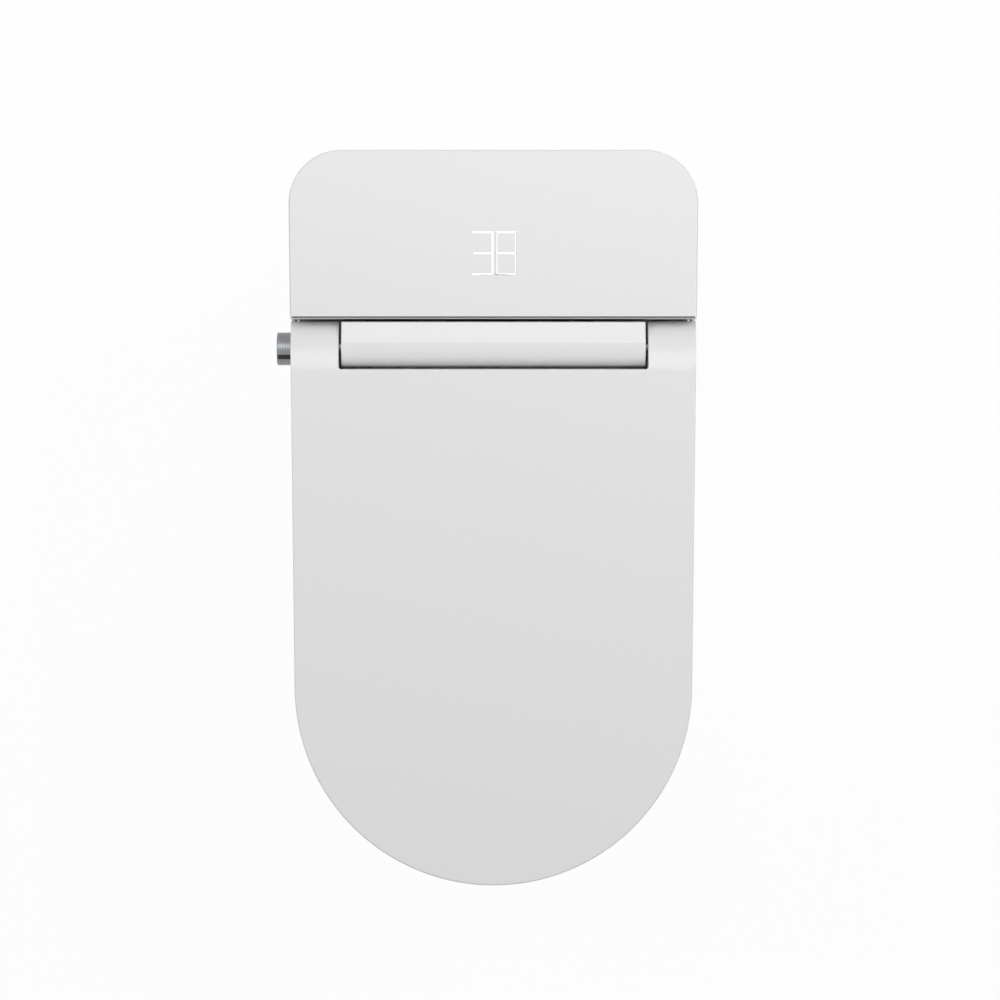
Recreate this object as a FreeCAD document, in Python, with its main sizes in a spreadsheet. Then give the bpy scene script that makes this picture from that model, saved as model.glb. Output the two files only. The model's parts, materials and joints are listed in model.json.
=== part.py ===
"""Floor-standing smart toilet with a heated seat, built as an assembly of separate pieces.

Frame: +Z up, -Y towards the user's knees, +X to the left hand of a seated user.
Origin: on the floor, at the axis of the waste outlet. All sizes are in millimetres.
"""

import math
import os
import re

import FreeCAD
import Part
import Sketcher
from FreeCAD import Placement, Rotation, Vector

doc = FreeCAD.newDocument("smart_toilet")

# Driving dimensions. Each one can be changed by itself.
SIZES = {
    # plan of the casing
    "overall_length": 690.0,
    "rear_reach": 285.0,
    "rear_width": 384.4,
    "front_width": 373.4,
    "rear_corner_radius": 49.6,
    # heights
    "rim_height": 396.0,
    "deck_drop": 56.0,
    "seat_lift_gap": 5.0,
    "seat_thickness": 23.0,
    "lid_gap": 3.0,
    "lid_height": 23.0,
    "hinge_drop": 24.0,
    # lid
    "lid_inset": 0.4,
    "lid_wall": 3.5,
    "lid_skin": 3.0,
    "roll_length": 48.8,
    "roll_drop": 30.0,
    "slot_wall": 2.5,
    "slot_wall_depth": 16.0,
    "ear_radius": 12.5,
    "ear_width": 17.0,
    "cheek_gap": 2.0,
    "liner_thickness": 2.0,
    "liner_recess": 4.0,
    # top cover and its display
    "cover_length": 158.6,
    "cover_skin": 3.0,
    "cover_depth": 14.0,
    "cover_edge_round": 2.0,
    "digit_height": 39.3,
    "digit_width": 18.3,
    "digit_pitch": 21.9,
    "digit_offset": 1.0,
    "digit_stroke": 1.9,
    "digit_from_rear": 97.4,
    "digit_skin": 0.5,
    # hinge bar
    "hinge_setback": 25.8,
    "lid_rear_gap": 1.2,
    "lug_width": 45.3658805,
    "bar_end_gap": 2.4,
    "bar_front_reach": 18.5,
    "bar_rear_gap": 2.5,
    "bar_radius": 21.3,
    "bar_crest": 3.4,
    "bar_rear_drop": 4.6,
    "bar_wall": 2.5,
    "bar_depth": 45.0,
    "slot_front_gap": 3.1,
    "damper_radius": 9.5,
    "damper_length": 36.0,
    "shaft_radius": 5.0,
    "shaft_clearance": 0.05,
    "side_clearance": 0.6,
    # seat
    "seat_inset": 1.0,
    "seat_wall": 3.0,
    "seat_opening_width": 212.0,
    "seat_opening_rear_gap": 110.1,
    "seat_opening_from_front": 79.0,
    "seat_edge_round": 7.0,
    "seat_rear_reach": 24.5,
    "seat_arm_width": 17.0,
    "foil_thickness": 0.4,
    "bumper_radius": 9.0,
    "bumper_side_gap": 42.2,
    "bumper_rear_gap": 116.1,
    "bumper_front_inset": 74.7,
    "bumper_front_gap": 97.0,
    "lid_bumper_side_gap": 58.2,
    "lid_bumper_rear_gap": 56.1,
    # lower housing
    "housing_outset": 0.4,
    "housing_wall": 3.0,
    "housing_seam": 0.8,
    "shoulder_reach": 22.0,
    "trough_gap": 2.8,
    "chassis_gap": 1.0,
    "chassis_thickness": 5.0,
    # side knob
    "knob_radius": 15.35,
    "knob_proud": 12.4,
    "knob_wall_gap": 0.4341195,
    "knob_rise": 32.0,
    "knob_chamfer": 1.0,
    "bezel_width": 2.0,
    "knob_shaft_radius": 3.0,
    # pedestal
    "pedestal_inset": 1.5,
    "ceramic_wall": 11.0,
    "pedestal_setback": 35.0,
    "pedestal_corner_radius": 30.0,
    "foot_half_width": 136.0,
    "foot_setback": 93.0,
    "bowl_wall": 10.0,
    "bowl_half_width": 112.0,
    "bowl_front_gap": 67.0,
    "bowl_rear": 18.0,
    "bowl_corner_radius": 70.0,
    "bowl_floor": 96.0,
    "sump_radius": 33.0,
    "sump_rear": 126.0,
    "sump_length": 72.0,
    "notch_half_width": 74.0,
    "notch_depth": 74.0,
    "trap_radius": 28.0,
    "trap_wall": 8.0,
    "trap_bend": 42.0,
    "trap_climb": 69.0,
    "trap_slack": 0.114,
    "weir_height": 240.0,
    "outlet_radius": 38.0,
    "outlet_depth": 60.0,
    "fixing_radius": 4.5,
    "fixing_y": 160.0,
    "fixing_height": 35.0,
    "jet_radius": 8.0,
    "jet_side_gap": 14.0,
    "jet_drop": 24.0,
    # spray unit
    "wand_angle": 18.0,
    "wand_radius": 6.5,
    "wand_spacing": 26.0,
    "wand_length": 214.0,
    "wand_tip_reach": 72.6,
    "wand_tip_rise": 7.0,
    "tip_length": 26.0,
    "guide_start": 86.0,
    "guide_length": 54.0,
    "slide_clearance": 0.08,
    "pinion_module": 1.25,
    "pinion_teeth": 12.0,
    "pinion_station": 107.0,
    "rack_width": 6.0,
    "rack_start": 103.5,
    "rack_pitch_drop": 9.2,
    "motor_radius": 12.0,
    "motor_length": 26.0,
    "pinion_shaft_radius": 2.0,
    # water connection and cable entry
    "inlet_radius": 10.48,
    "inlet_length": 13.0,
    "inlet_side_gap": 2.6,
    "inlet_from_rear": 17.0,
    "cable_radius": 3.8,
    "gland_radius": 9.0,
    "gland_length": 14.0,
    # heater tank
    "tank_length": 86.0,
    "tank_height": 74.0,
    "tank_side_gap": 22.2,
    "tank_front_gap": 11.0,
    "tank_rear_gap": 44.0,
    "tank_round": 9.0,
    "hose_radius": 4.0,
    # flush pump
    "pump_radius": 26.0,
    "pump_length": 74.0,
    "pump_x": -30.0,
    "pump_from_rear": 49.0,
    "valve_length": 22.0,
    "flush_hose_radius": 8.0,
    "flush_hose_rise": 49.0,
    "flush_hose_step": 71.4,
    "flush_hose_fall": 23.0,
    # dryer
    "dryer_radius": 34.0,
    "dryer_height": 34.0,
    "dryer_x": 120.0,
    "dryer_from_rear": 70.0,
    "fan_gap": 3.0,
    "fan_shaft_radius": 2.0,
    "duct_side_gap": 10.0,
    "duct_size": 16.0,
    "duct_rise": 6.0,
    "sheet_wall": 1.6,
    # deodoriser
    "deodoriser_side_gap": 20.8,
    "deodoriser_length": 50.0,
    "deodoriser_width": 56.0,
    "deodoriser_height": 48.0,
    "deodoriser_setback": 11.4,
    "small_fan_radius": 20.0,
    # electronics
    "board_thickness": 1.6,
    "control_board_length": 78.0,
    "control_board_width": 100.0,
    "control_board_rise": 58.0,
    "board_side_gap": 13.2,
    "display_board_length": 64.0,
    "display_board_width": 56.0,
    "display_board_drop": 12.0,
    "supply_length": 74.0,
    "supply_width": 22.0,
    "supply_height": 50.0,
    "bolt_radius": 4.0,
    "bolt_hole_radius": 5.0,
    "front_bolt_side_gap": 25.5658805,
    "rear_bolt_x": 72.0,
}

# Sizes and places that follow from the driving dimensions.
PLACES = {
    "front_y": "rear_reach - overall_length",
    "front_radius": "front_width / 2",
    "seat_bottom": "rim_height + seat_lift_gap",
    "seat_top": "seat_bottom + seat_thickness",
    "lid_bottom": "seat_top + lid_gap",
    "lid_top": "lid_bottom + lid_height",
    "hinge_z": "lid_top - hinge_drop",
    "cover_top": "lid_top",
    "cover_bottom": "cover_top - cover_depth",
    "cover_front": "rear_reach - cover_length",
    "hinge_y": "cover_front - hinge_setback",
    "cheek_radius": "hinge_setback - cheek_gap",
    "trough_radius": "cheek_radius + trough_gap",
    "lid_rear": "cover_front - lid_rear_gap",
    "roll_start": "lid_rear - roll_length",
    "bar_rear": "cover_front - bar_rear_gap",
    "bar_front": "hinge_y - bar_front_reach",
    "side_run": "rear_reach - rear_corner_radius - front_y - front_radius",
    "hinge_share": "(hinge_y - front_y - front_radius) / side_run",
    "hinge_half": "front_radius + (rear_width / 2 - front_radius) * hinge_share",
    "slot_half": "hinge_half - lug_width",
    "bar_half": "slot_half - bar_end_gap",
    "slot_front": "bar_front - slot_front_gap",
    "seat_rear": "hinge_y - seat_rear_reach",
    "seat_opening_front": "front_y + seat_opening_from_front",
    "seat_opening_length": "seat_rear - seat_opening_rear_gap - seat_opening_front",
    "seat_arm_inner": "slot_half + slot_wall + side_clearance",
    "seat_arm_outer": "seat_arm_inner + seat_arm_width",
    "ear_inner": "seat_arm_outer + 2 * side_clearance",
    "ear_outer": "ear_inner + ear_width",
    "deck_height": "rim_height - deck_drop",
    "chassis_bottom": "deck_height + chassis_gap",
    "chassis_top": "chassis_bottom + chassis_thickness",
    "housing_front": "hinge_y - shoulder_reach",
    "step_y": "housing_front - chassis_gap",
    "pedestal_rear": "rear_reach - pedestal_setback",
    "foot_front": "-(front_y + foot_setback)",
    "sump_front": "sump_rear + sump_length",
    "notch_floor": "rim_height - notch_depth",
    "jet_x": "notch_half_width + jet_side_gap",
    "jet_height": "rim_height - jet_drop",
    "wand_tip_y": "housing_front - wand_tip_reach",
    "wand_tip_z": "chassis_top + wand_tip_rise",
    "inlet_y": "rear_reach - inlet_from_rear",
    "inlet_x": "rear_width / 2 - rear_corner_radius - inlet_side_gap",
    "tank_x": "-(rear_width / 2 - tank_side_gap)",
    "tank_front": "housing_front + deodoriser_setback + deodoriser_width + tank_front_gap",
    "tank_width": "rear_reach - tank_rear_gap - tank_front",
    "flush_hose_height": "chassis_top + flush_hose_rise",
    "deodoriser_x": "-(bar_half - deodoriser_side_gap)",
    "duct_x": "notch_half_width - duct_side_gap",
    "duct_height": "chassis_top + duct_rise",
    "board_x": "rear_width / 2 - board_side_gap - control_board_length / 2",
    "control_board_height": "chassis_top + control_board_rise",
    "front_bolt_x": "hinge_half - front_bolt_side_gap",
    "knob_height": "chassis_top + knob_rise",
    "knob_wall": "-(hinge_half + knob_wall_gap)",
    "knob_face": "knob_wall - knob_proud",
    "pitch_radius": "pinion_module * pinion_teeth / 2",
    "pinion_drop": "rack_pitch_drop + pitch_radius",
    "dryer_y": "rear_reach - dryer_from_rear",
    "pump_y": "rear_reach - pump_from_rear",
    "front_bolt_y": "hinge_y + 20",
    "rear_bolt_y": "pedestal_rear - 24",
    "damper_x": "bar_half - bar_wall - 1.0 - damper_length",
}

sizes = doc.addObject("Spreadsheet::Sheet", "Sizes")
places = doc.addObject("Spreadsheet::Sheet", "Places")


def linked(text):
    """An expression with each bare name replaced by the cell that holds it."""

    def cell(found):
        word = found.group(0)
        if word in SIZES:
            return "Sizes." + word
        if word in PLACES:
            return "Places." + word
        return word

    return re.sub(r"[a-z][a-z_]+", cell, text)


for row, (alias, value) in enumerate(SIZES.items(), start=1):
    sizes.set(f"A{row}", alias)
    sizes.set(f"B{row}", str(value))
    sizes.setAlias(f"B{row}", alias)
doc.recompute()
for row, (alias, rule) in enumerate(PLACES.items(), start=1):
    places.set(f"A{row}", alias)
    places.set(f"B{row}", "=" + linked(rule))
    places.setAlias(f"B{row}", alias)
doc.recompute()


def val(name):
    """The number in a named cell of either sheet."""
    sheet = sizes if name in SIZES else places
    return float(sheet.get(name))


PIECES = []


def piece(obj, label):
    """Marks a document object as a sub-part that is written to its own file."""
    obj.Label = label
    PIECES.append(obj)
    return obj


def feature(label, shape):
    """A sub-part whose shape is worked out in code from the two sheets."""
    obj = doc.addObject("Part::Feature", label)
    obj.Shape = shape
    return piece(obj, label)


# ---------------------------------------------------------------- bound primitives


def bind(obj, **rules):
    """Binds properties to cells. A double underscore in a keyword stands for a dot."""
    for name, rule in rules.items():
        obj.setExpression(name.replace("__", "."), linked(rule))
    return obj


def put(obj, x="0", y="0", z="0"):
    """Binds an object's position to cells."""
    return bind(obj, Placement__Base__x=x, Placement__Base__y=y, Placement__Base__z=z)


def block(name, x, y, z, length, width, height):
    """A box whose low corner and three sides are bound to cells."""
    obj = doc.addObject("Part::Box", name)
    return put(bind(obj, Length=length, Width=width, Height=height), x, y, z)


def rod(name, x, y, z, radius, length, axis="Z"):
    """A cylinder that starts at x, y, z and runs along one axis."""
    obj = doc.addObject("Part::Cylinder", name)
    turns = {"X": Rotation(Vector(0, 1, 0), 90), "Y": Rotation(Vector(1, 0, 0), -90)}
    obj.Placement = Placement(Vector(), turns.get(axis, Rotation()))
    return put(bind(obj, Radius=radius, Height=length), x, y, z)


def cut(name, base, *tools):
    """The base less its tools."""
    for n, tool in enumerate(tools):
        less = doc.addObject("Part::Cut", name if n == len(tools) - 1 else f"{name}_cut{n}")
        less.Base, less.Tool = base, tool
        base = less
    return base


def fuse(name, *parts):
    """Several solids joined as one."""
    made = doc.addObject("Part::MultiFuse", name)
    made.Shapes = list(parts)
    made.Refine = True
    return made


def group(name, *parts):
    """Several separate solids kept together as one sub-part."""
    made = doc.addObject("Part::Compound", name)
    made.Links = list(parts)
    return made


# ---------------------------------------------------------------- sketched bodies


def origin_plane(body, role):
    return next(f for f in body.Origin.OriginFeatures if f.Role == role)


def sketch_on(body, name, role, x="0", y="0", z="0"):
    """A sketch on one of the body's own planes, moved within it by bound distances."""
    drawn = body.newObject("Sketcher::SketchObject", name)
    drawn.AttachmentSupport = [(origin_plane(body, role), "")]
    drawn.MapMode = "FlatFace"
    return bind(
        drawn,
        AttachmentOffset__Base__x=x,
        AttachmentOffset__Base__y=y,
        AttachmentOffset__Base__z=z,
    )


def name_size(drawn, constraint, name, rule):
    index = drawn.addConstraint(constraint)
    drawn.renameConstraint(index, name)
    drawn.setExpression(f"Constraints.{name}", linked(rule))


def circle(drawn, name, radius):
    """A circle round the sketch's origin."""
    index = drawn.addGeometry(Part.Circle(Vector(), Vector(0, 0, 1), 5.0), False)
    drawn.addConstraint(Sketcher.Constraint("Coincident", index, 3, -1, 1))
    name_size(drawn, Sketcher.Constraint("Radius", index, 5.0), name, radius)
    return drawn


def rectangle(drawn, name, width, height):
    """A rectangle centred on the sketch's origin."""
    corners = [Vector(-5, -4), Vector(5, -4), Vector(5, 4), Vector(-5, 4)]
    first = drawn.GeometryCount
    for n in range(4):
        drawn.addGeometry(Part.LineSegment(corners[n], corners[(n + 1) % 4]), False)
    for n in range(4):
        drawn.addConstraint(
            Sketcher.Constraint("Coincident", first + n, 2, first + (n + 1) % 4, 1)
        )
    for n, rule in enumerate(("Horizontal", "Vertical", "Horizontal", "Vertical")):
        drawn.addConstraint(Sketcher.Constraint(rule, first + n))
    drawn.addConstraint(Sketcher.Constraint("Symmetric", first, 1, first + 2, 1, -1, 1))
    wide = Sketcher.Constraint("DistanceX", first, 1, first, 2, 10.0)
    high = Sketcher.Constraint("DistanceY", first + 1, 1, first + 1, 2, 8.0)
    name_size(drawn, wide, name + "_width", width)
    name_size(drawn, high, name + "_height", height)
    return drawn


def turned_profile(drawn, steps):
    """A closed half section about the sketch's Y axis. steps is a list of (radius, height) rules."""
    count = len(steps)
    guess = [Vector(3.0 + n % 3, 4.0 * n) for n in range(count)]
    for n in range(count):
        drawn.addGeometry(Part.LineSegment(guess[n], guess[(n + 1) % count]), False)
    for n in range(count):
        drawn.addConstraint(Sketcher.Constraint("Coincident", n, 2, (n + 1) % count, 1))
    for n, (radius, height) in enumerate(steps):
        across = Sketcher.Constraint("DistanceX", -1, 1, n, 1, guess[n].x)
        along = Sketcher.Constraint("DistanceY", -1, 1, n, 1, max(guess[n].y, 0.1))
        name_size(drawn, across, f"radius_{n}", radius)
        name_size(drawn, along, f"height_{n}", height)
    return drawn


def pad(body, drawn, name, length, both_ways=False, reverse=False):
    made = body.newObject("PartDesign::Pad", name)
    made.Profile = drawn
    made.Midplane = both_ways
    made.Reversed = reverse
    bind(made, Length=length)
    drawn.Visibility = False
    return made


def pocket(body, drawn, name, length, reverse=False):
    made = body.newObject("PartDesign::Pocket", name)
    made.Profile = drawn
    made.Reversed = reverse
    bind(made, Length=length)
    return made


def revolve(body, drawn, name):
    made = body.newObject("PartDesign::Revolution", name)
    made.Profile = drawn
    made.ReferenceAxis = (drawn, ["V_Axis"])
    made.Angle = 360.0
    return made


def new_body(label):
    made = doc.addObject("PartDesign::Body", label)
    return piece(made, label)


# ---------------------------------------------------------------- outlines


def d_outline(z, front_radius, front_y, half_width, rear_y, corner_radius):
    """A D in plan: a round front, two tangent sides and a straight rear with round corners."""
    front = Vector(0, front_y + front_radius, z)
    corner = Vector(half_width - corner_radius, rear_y - corner_radius, z)
    reach = corner - front
    lean = math.atan2(reach.y, reach.x)
    lean -= math.acos((front_radius - corner_radius) / reach.Length)
    out = Vector(math.cos(lean), math.sin(lean), 0)
    side_front = front + out * front_radius
    side_rear = corner + out * corner_radius
    bisector = (lean + math.pi / 2) / 2
    turn = Vector(math.cos(bisector), math.sin(bisector), 0)
    corner_mid = corner + turn * corner_radius
    corner_end = Vector(corner.x, rear_y, z)
    nose = Vector(0, front_y, z)

    def left(point):
        return Vector(-point.x, point.y, point.z)

    return Part.Wire(
        [
            Part.LineSegment(left(corner_end), corner_end).toShape(),
            Part.Arc(corner_end, corner_mid, side_rear).toShape(),
            Part.LineSegment(side_rear, side_front).toShape(),
            Part.Arc(side_front, nose, left(side_front)).toShape(),
            Part.LineSegment(left(side_front), left(side_rear)).toShape(),
            Part.Arc(left(side_rear), left(corner_mid), left(corner_end)).toShape(),
        ]
    )


def casing_outline(z, inset):
    """The outline shared by the lid, the seat, the cover and the housing, moved in by inset."""
    return d_outline(
        z,
        val("front_radius") - inset,
        val("front_y") + inset,
        val("rear_width") / 2 - inset,
        val("rear_reach") - inset,
        val("rear_corner_radius") - inset,
    )


def casing_block(inset, low, high):
    """The casing's outline as a solid from one height to another."""
    return Part.Face(casing_outline(low, inset)).extrude(Vector(0, 0, high - low))


def slab(x0, x1, y0, y1, z0, z1):
    """A plain box between two corners."""
    return Part.makeBox(x1 - x0, y1 - y0, z1 - z0, Vector(x0, y0, z0))


def behind(y, low=-10.0, high=600.0):
    """All space behind a plane across the object."""
    return slab(-300, 300, y, 500, low, high)


def ahead_of(y, low=-10.0, high=600.0):
    """All space in front of a plane across the object."""
    return slab(-300, 300, -600, y, low, high)


def x_cylinder(x0, x1, y, z, radius):
    return Part.makeCylinder(radius, x1 - x0, Vector(x0, y, z), Vector(1, 0, 0))


def both_sides(shape):
    """A shape and its mirror image across the object's middle plane."""
    return shape.fuse(shape.mirror(Vector(), Vector(1, 0, 0)))


def mirrored(shape):
    return shape.mirror(Vector(), Vector(1, 0, 0))


def edges_where(shape, test):
    """Edges whose ends and middle all pass a test on their points."""
    found = []
    for edge in shape.Edges:
        span = edge.LastParameter - edge.FirstParameter
        points = [edge.valueAt(edge.FirstParameter + span * k / 4) for k in range(5)]
        if all(test(point) for point in points):
            found.append(edge)
    return found


# ---------------------------------------------------------------- pedestal

# Levels of the pedestal's skirt: share of the height, and share of the way out to the rim.
SKIRT_LEVELS = ((0.0, 0.0), (0.3, 0.1), (0.55, 0.44), (0.8, 0.88), (1.0, 1.0))


def skirt_outline(height, out, inset):
    """One outline of the pedestal between its foot and its rim."""
    rim = val("pedestal_inset")

    def between(foot, top):
        return foot + (top - foot) * out

    return d_outline(
        height,
        between(val("foot_half_width"), val("front_radius") - rim) - inset,
        between(-val("foot_front"), val("front_y") + rim) + inset,
        between(val("foot_half_width") + 10, val("rear_width") / 2 - rim) - inset,
        val("pedestal_rear") - inset,
        val("pedestal_corner_radius") - inset,
    )


def skirt(inset, top):
    """The pedestal's outer form moved in by inset, from the floor up to a height."""
    levels = [skirt_outline(up * val("rim_height"), out, inset) for up, out in SKIRT_LEVELS]
    solid = Part.makeLoft(levels, True, False)
    return solid if top >= val("rim_height") else solid.common(slab(-300, 300, -600, 600, 0, top))


# Levels of the bowl: share of the depth, and share of the way in to the sump.
BOWL_LEVELS = ((0.0, 0.0), (0.18, 0.05), (0.4, 0.25), (0.6, 0.55), (0.8, 0.86), (1.0, 1.0))


def bowl_outline(height, share, grow):
    """One outline of the bowl between its rim and its sump, made larger by grow."""

    def between(rim, sump):
        return rim + (sump - rim) * share

    half = between(val("bowl_half_width"), val("sump_radius"))
    front = between(val("front_y") + val("bowl_front_gap"), -val("sump_front"))
    rear = between(-val("bowl_rear"), -val("sump_rear"))
    corner = between(val("bowl_corner_radius"), val("sump_radius") - 4)
    nose = between(val("bowl_half_width") - 3, val("sump_radius") - 2)
    return d_outline(height, nose + grow, front - grow, half + grow, rear + grow, corner + grow)


def bowl(grow, rise):
    """The inside of the bowl, or its outside when grown by the wall."""
    rim, floor = val("rim_height"), val("bowl_floor") - grow
    levels = [bowl_outline(rim - (rim - floor) * down, share, grow) for down, share in BOWL_LEVELS]
    solid = Part.makeLoft(levels, True, True)
    return solid.fuse(Part.Face(levels[0]).extrude(Vector(0, 0, rise))) if rise else solid


def rounded_path(points, radii):
    """A path through points, with straight runs joined by tangent arcs."""
    edges = []
    start = points[0]
    for before, corner, after, radius in zip(points, points[1:], points[2:], radii):
        into = (corner - before).normalize()
        away = (after - corner).normalize()
        half_turn = into.getAngle(away) / 2
        trim = radius * math.tan(half_turn)
        first, last = corner - into * trim, corner + away * trim
        inward = (away - into).normalize()
        middle = corner + inward * (radius / math.cos(half_turn) - radius)
        edges.append(Part.LineSegment(start, first).toShape())
        edges.append(Part.Arc(first, middle, last).toShape())
        start = last
    edges.append(Part.LineSegment(start, points[-1]).toShape())
    return Part.Wire(edges)


def pipe(path, radius):
    """A round bar along a path."""
    first = path.Edges[0]
    start = first.valueAt(first.FirstParameter)
    way = first.tangentAt(first.FirstParameter)
    ring = Part.Wire([Part.Circle(start, way, radius).toShape()])
    return path.makePipeShell([ring], True, False)


def hose(points, outer, inner, bend):
    """A hollow hose through points."""
    path = rounded_path(points, [bend] * (len(points) - 2))
    return pipe(path, outer).cut(pipe(path, inner))


def trap_path():
    """The siphon's centre line: out of the sump, over the weir and down to the outlet."""
    low, high = val("bowl_floor") + val("trap_radius"), val("weir_height")
    outlet, bend, climb = val("outlet_depth"), val("trap_bend"), val("trap_climb")
    start = -(val("sump_rear") + val("sump_length") / 2 + 3)
    foot = -val("sump_rear") + 22
    lean = math.atan2(high - low, climb)
    rear = round(foot + climb + bend * (1 + math.tan(lean / 2)) + val("trap_slack"), 2)
    points = [(start, low), (foot, low), (foot + climb, high), (rear, high), (rear, outlet + 58)]
    points += [(0, outlet + 26), (0, 1)]
    return rounded_path([Vector(0, y, z) for y, z in points], [bend] * 5)


def pedestal_openings():
    """All that is taken out of the pedestal after its walls are joined."""
    notch, floor = val("notch_half_width"), val("notch_floor")
    jet = Vector(val("jet_x"), -val("bowl_rear") - 50, val("jet_height"))
    reach = val("step_y") - jet.y + 10
    under_deck = val("deck_height") - val("ceramic_wall") - 29
    deck_bolts = []
    for x, y in bolt_places():
        depth = val("ceramic_wall") + 49
        deck_bolts.append(Part.makeCylinder(val("bolt_hole_radius"), depth, Vector(x, y, under_deck)))
    fixing = Vector(-300, val("fixing_y"), val("fixing_height"))
    return [
        bowl(0.0, 6.0),
        pipe(trap_path(), val("trap_radius")),
        Part.makeCylinder(val("outlet_radius"), val("outlet_depth")),
        slab(-notch, notch, -val("bowl_rear") - 12, val("step_y") + 1, floor, 500),
        behind(val("step_y"), val("deck_height")),
        Part.makeCylinder(val("jet_radius") + 0.3, reach, jet, Vector(0, 1, 0)),
        Part.makeCylinder(val("fixing_radius"), 600, fixing, Vector(1, 0, 0)),
    ] + deck_bolts


def bolt_places():
    """Plan positions of the four bolts that hold the chassis to the deck."""
    front = (val("front_bolt_x"), val("front_bolt_y"))
    rear = (val("rear_bolt_x"), val("rear_bolt_y"))
    return [(side * x, y) for x, y in (front, rear) for side in (-1, 1)]


def make_pedestal():
    """The fired body, as six pieces that meet face to face.

    The top holds the rim, the step and the rear deck. The skirt stands under it, round the bowl.
    The trapway runs from the bowl to the waste socket, and the fixing bosses sit in the skirt.
    """
    wall, rim, step = val("ceramic_wall"), val("rim_height"), val("step_y")
    notch = val("notch_half_width") + wall
    under_rim, under_deck = rim - 2 * wall, val("deck_height") - wall
    outer = skirt(0.0, rim)
    shell = outer.cut(skirt(wall, under_rim).cut(behind(step - wall, under_deck)))
    high = ahead_of(step - wall, under_rim).fuse(behind(step - wall, under_deck))
    boss = x_cylinder(-300, -val("foot_half_width") + 14, val("fixing_y"), val("fixing_height"), 15)
    bosses = both_sides(boss).common(outer)
    socket = Part.makeCylinder(val("outlet_radius") + 9, val("outlet_depth") + 9)
    basin = bowl(val("bowl_wall"), 0.0)
    basin = basin.fuse(
        slab(-notch, notch, -val("bowl_rear") - 12, step, val("notch_floor") - wall, rim)
    )
    siphon = pipe(trap_path(), val("trap_radius") + val("trap_wall"))
    walls = {
        "pedestal_top": shell.common(high),
        "pedestal_skirt": shell.cut([high, bosses]),
        "pedestal_bowl": basin.common(outer).cut(high),
        "pedestal_trapway": siphon.common(outer).cut([basin, socket, shell]),
        "waste_socket": socket,
        "fixing_bosses": bosses,
    }
    openings = pedestal_openings()
    return {label: solid.cut(openings) for label, solid in walls.items()}


for pedestal_label, pedestal_shape in make_pedestal().items():
    feature(pedestal_label, pedestal_shape)


# ---------------------------------------------------------------- rear housing and cover


def trough(radius, inner_x):
    """The round channel about the hinge axis, from inner_x outwards on both sides."""
    return both_sides(x_cylinder(inner_x, 300, val("hinge_y"), val("hinge_z"), radius))


def wall_shell(inset, wall, low, high):
    """A wall along the casing's outline, of one thickness."""
    return casing_block(inset, low, high).cut(casing_block(inset + wall, low - 1, high + 1))


def front_ports():
    """Openings in the housing's front wall: wands, dryer, deodoriser and flush hose."""
    y0, y1 = val("housing_front") - 5, val("housing_front") + 20
    angle = math.radians(val("wand_angle"))
    station = (val("housing_front") - val("wand_tip_y")) / math.cos(angle)
    centre = val("wand_tip_z") + station * math.sin(angle)
    half = val("wand_spacing") / 2 + val("wand_radius") + 3
    duct, low, size = val("duct_x"), val("duct_height"), val("duct_size")
    holes = [slab(-half, half, y0, y1, centre - 15, centre + 11)]
    for x in (-duct, duct):
        holes.append(slab(x - size / 2 - 1.3, x + size / 2 + 1.3, y0, y1, low - 0.3, low + size + 0.3))
    jet = Vector(val("jet_x"), y0, val("jet_height"))
    holes.append(Part.makeCylinder(val("flush_hose_radius") + 0.4, y1 - y0, jet, Vector(0, 1, 0)))
    return holes


def make_lower_housing():
    """The plastic wall round the rear unit, with a channel under each hinge knuckle."""
    out, wall, low = -val("housing_outset"), val("housing_wall"), val("chassis_bottom")
    high = val("cover_bottom") - val("housing_seam")
    front, axis = val("housing_front"), val("hinge_y")
    shoulder = val("hinge_z") - 15
    inner_x = val("bar_half") + 0.4
    inner_y = val("rear_reach") - val("rear_corner_radius")
    shell = wall_shell(out, wall, low, high)
    face = slab(-300, 300, front, front + wall, low, high).common(casing_block(out, low, high))
    skin = both_sides(slab(inner_x, 300, front, axis + 40, low + 20, high))
    skin = skin.common(
        trough(val("trough_radius") + wall, inner_x)
    ).common(casing_block(out, low, high))
    cheeks = both_sides(slab(inner_x, inner_x + wall, front, axis + 40, shoulder - 30, high))
    cheeks = cheeks.common(trough(val("trough_radius") + wall + 12, inner_x))
    solid = shell.fuse([face, skin, cheeks]).common(behind(front))
    solid = solid.cut(slab(-300, 300, front - 1, front + 12, shoulder, 600))
    solid = solid.cut(slab(-inner_x, inner_x, front + wall, inner_y, low, 600))
    solid = solid.cut([trough(val("trough_radius"), inner_x - 1)] + front_ports())
    solid = solid.cut(slab(-300, 300, axis, val("cover_front") + 3.4, shoulder - 12, 600))
    knob_hole = x_cylinder(-300, -160, axis, val("knob_height"), val("knob_radius") + 0.4)
    return solid.cut(knob_hole)


feature("lower_housing", make_lower_housing())

# Strokes of a seven-segment figure: top, upper left, upper right, middle, lower left, lower
# right and bottom, and which of them each figure lights.
FIGURES = {"3": (1, 0, 1, 1, 0, 1, 1), "8": (1, 1, 1, 1, 1, 1, 1)}


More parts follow.
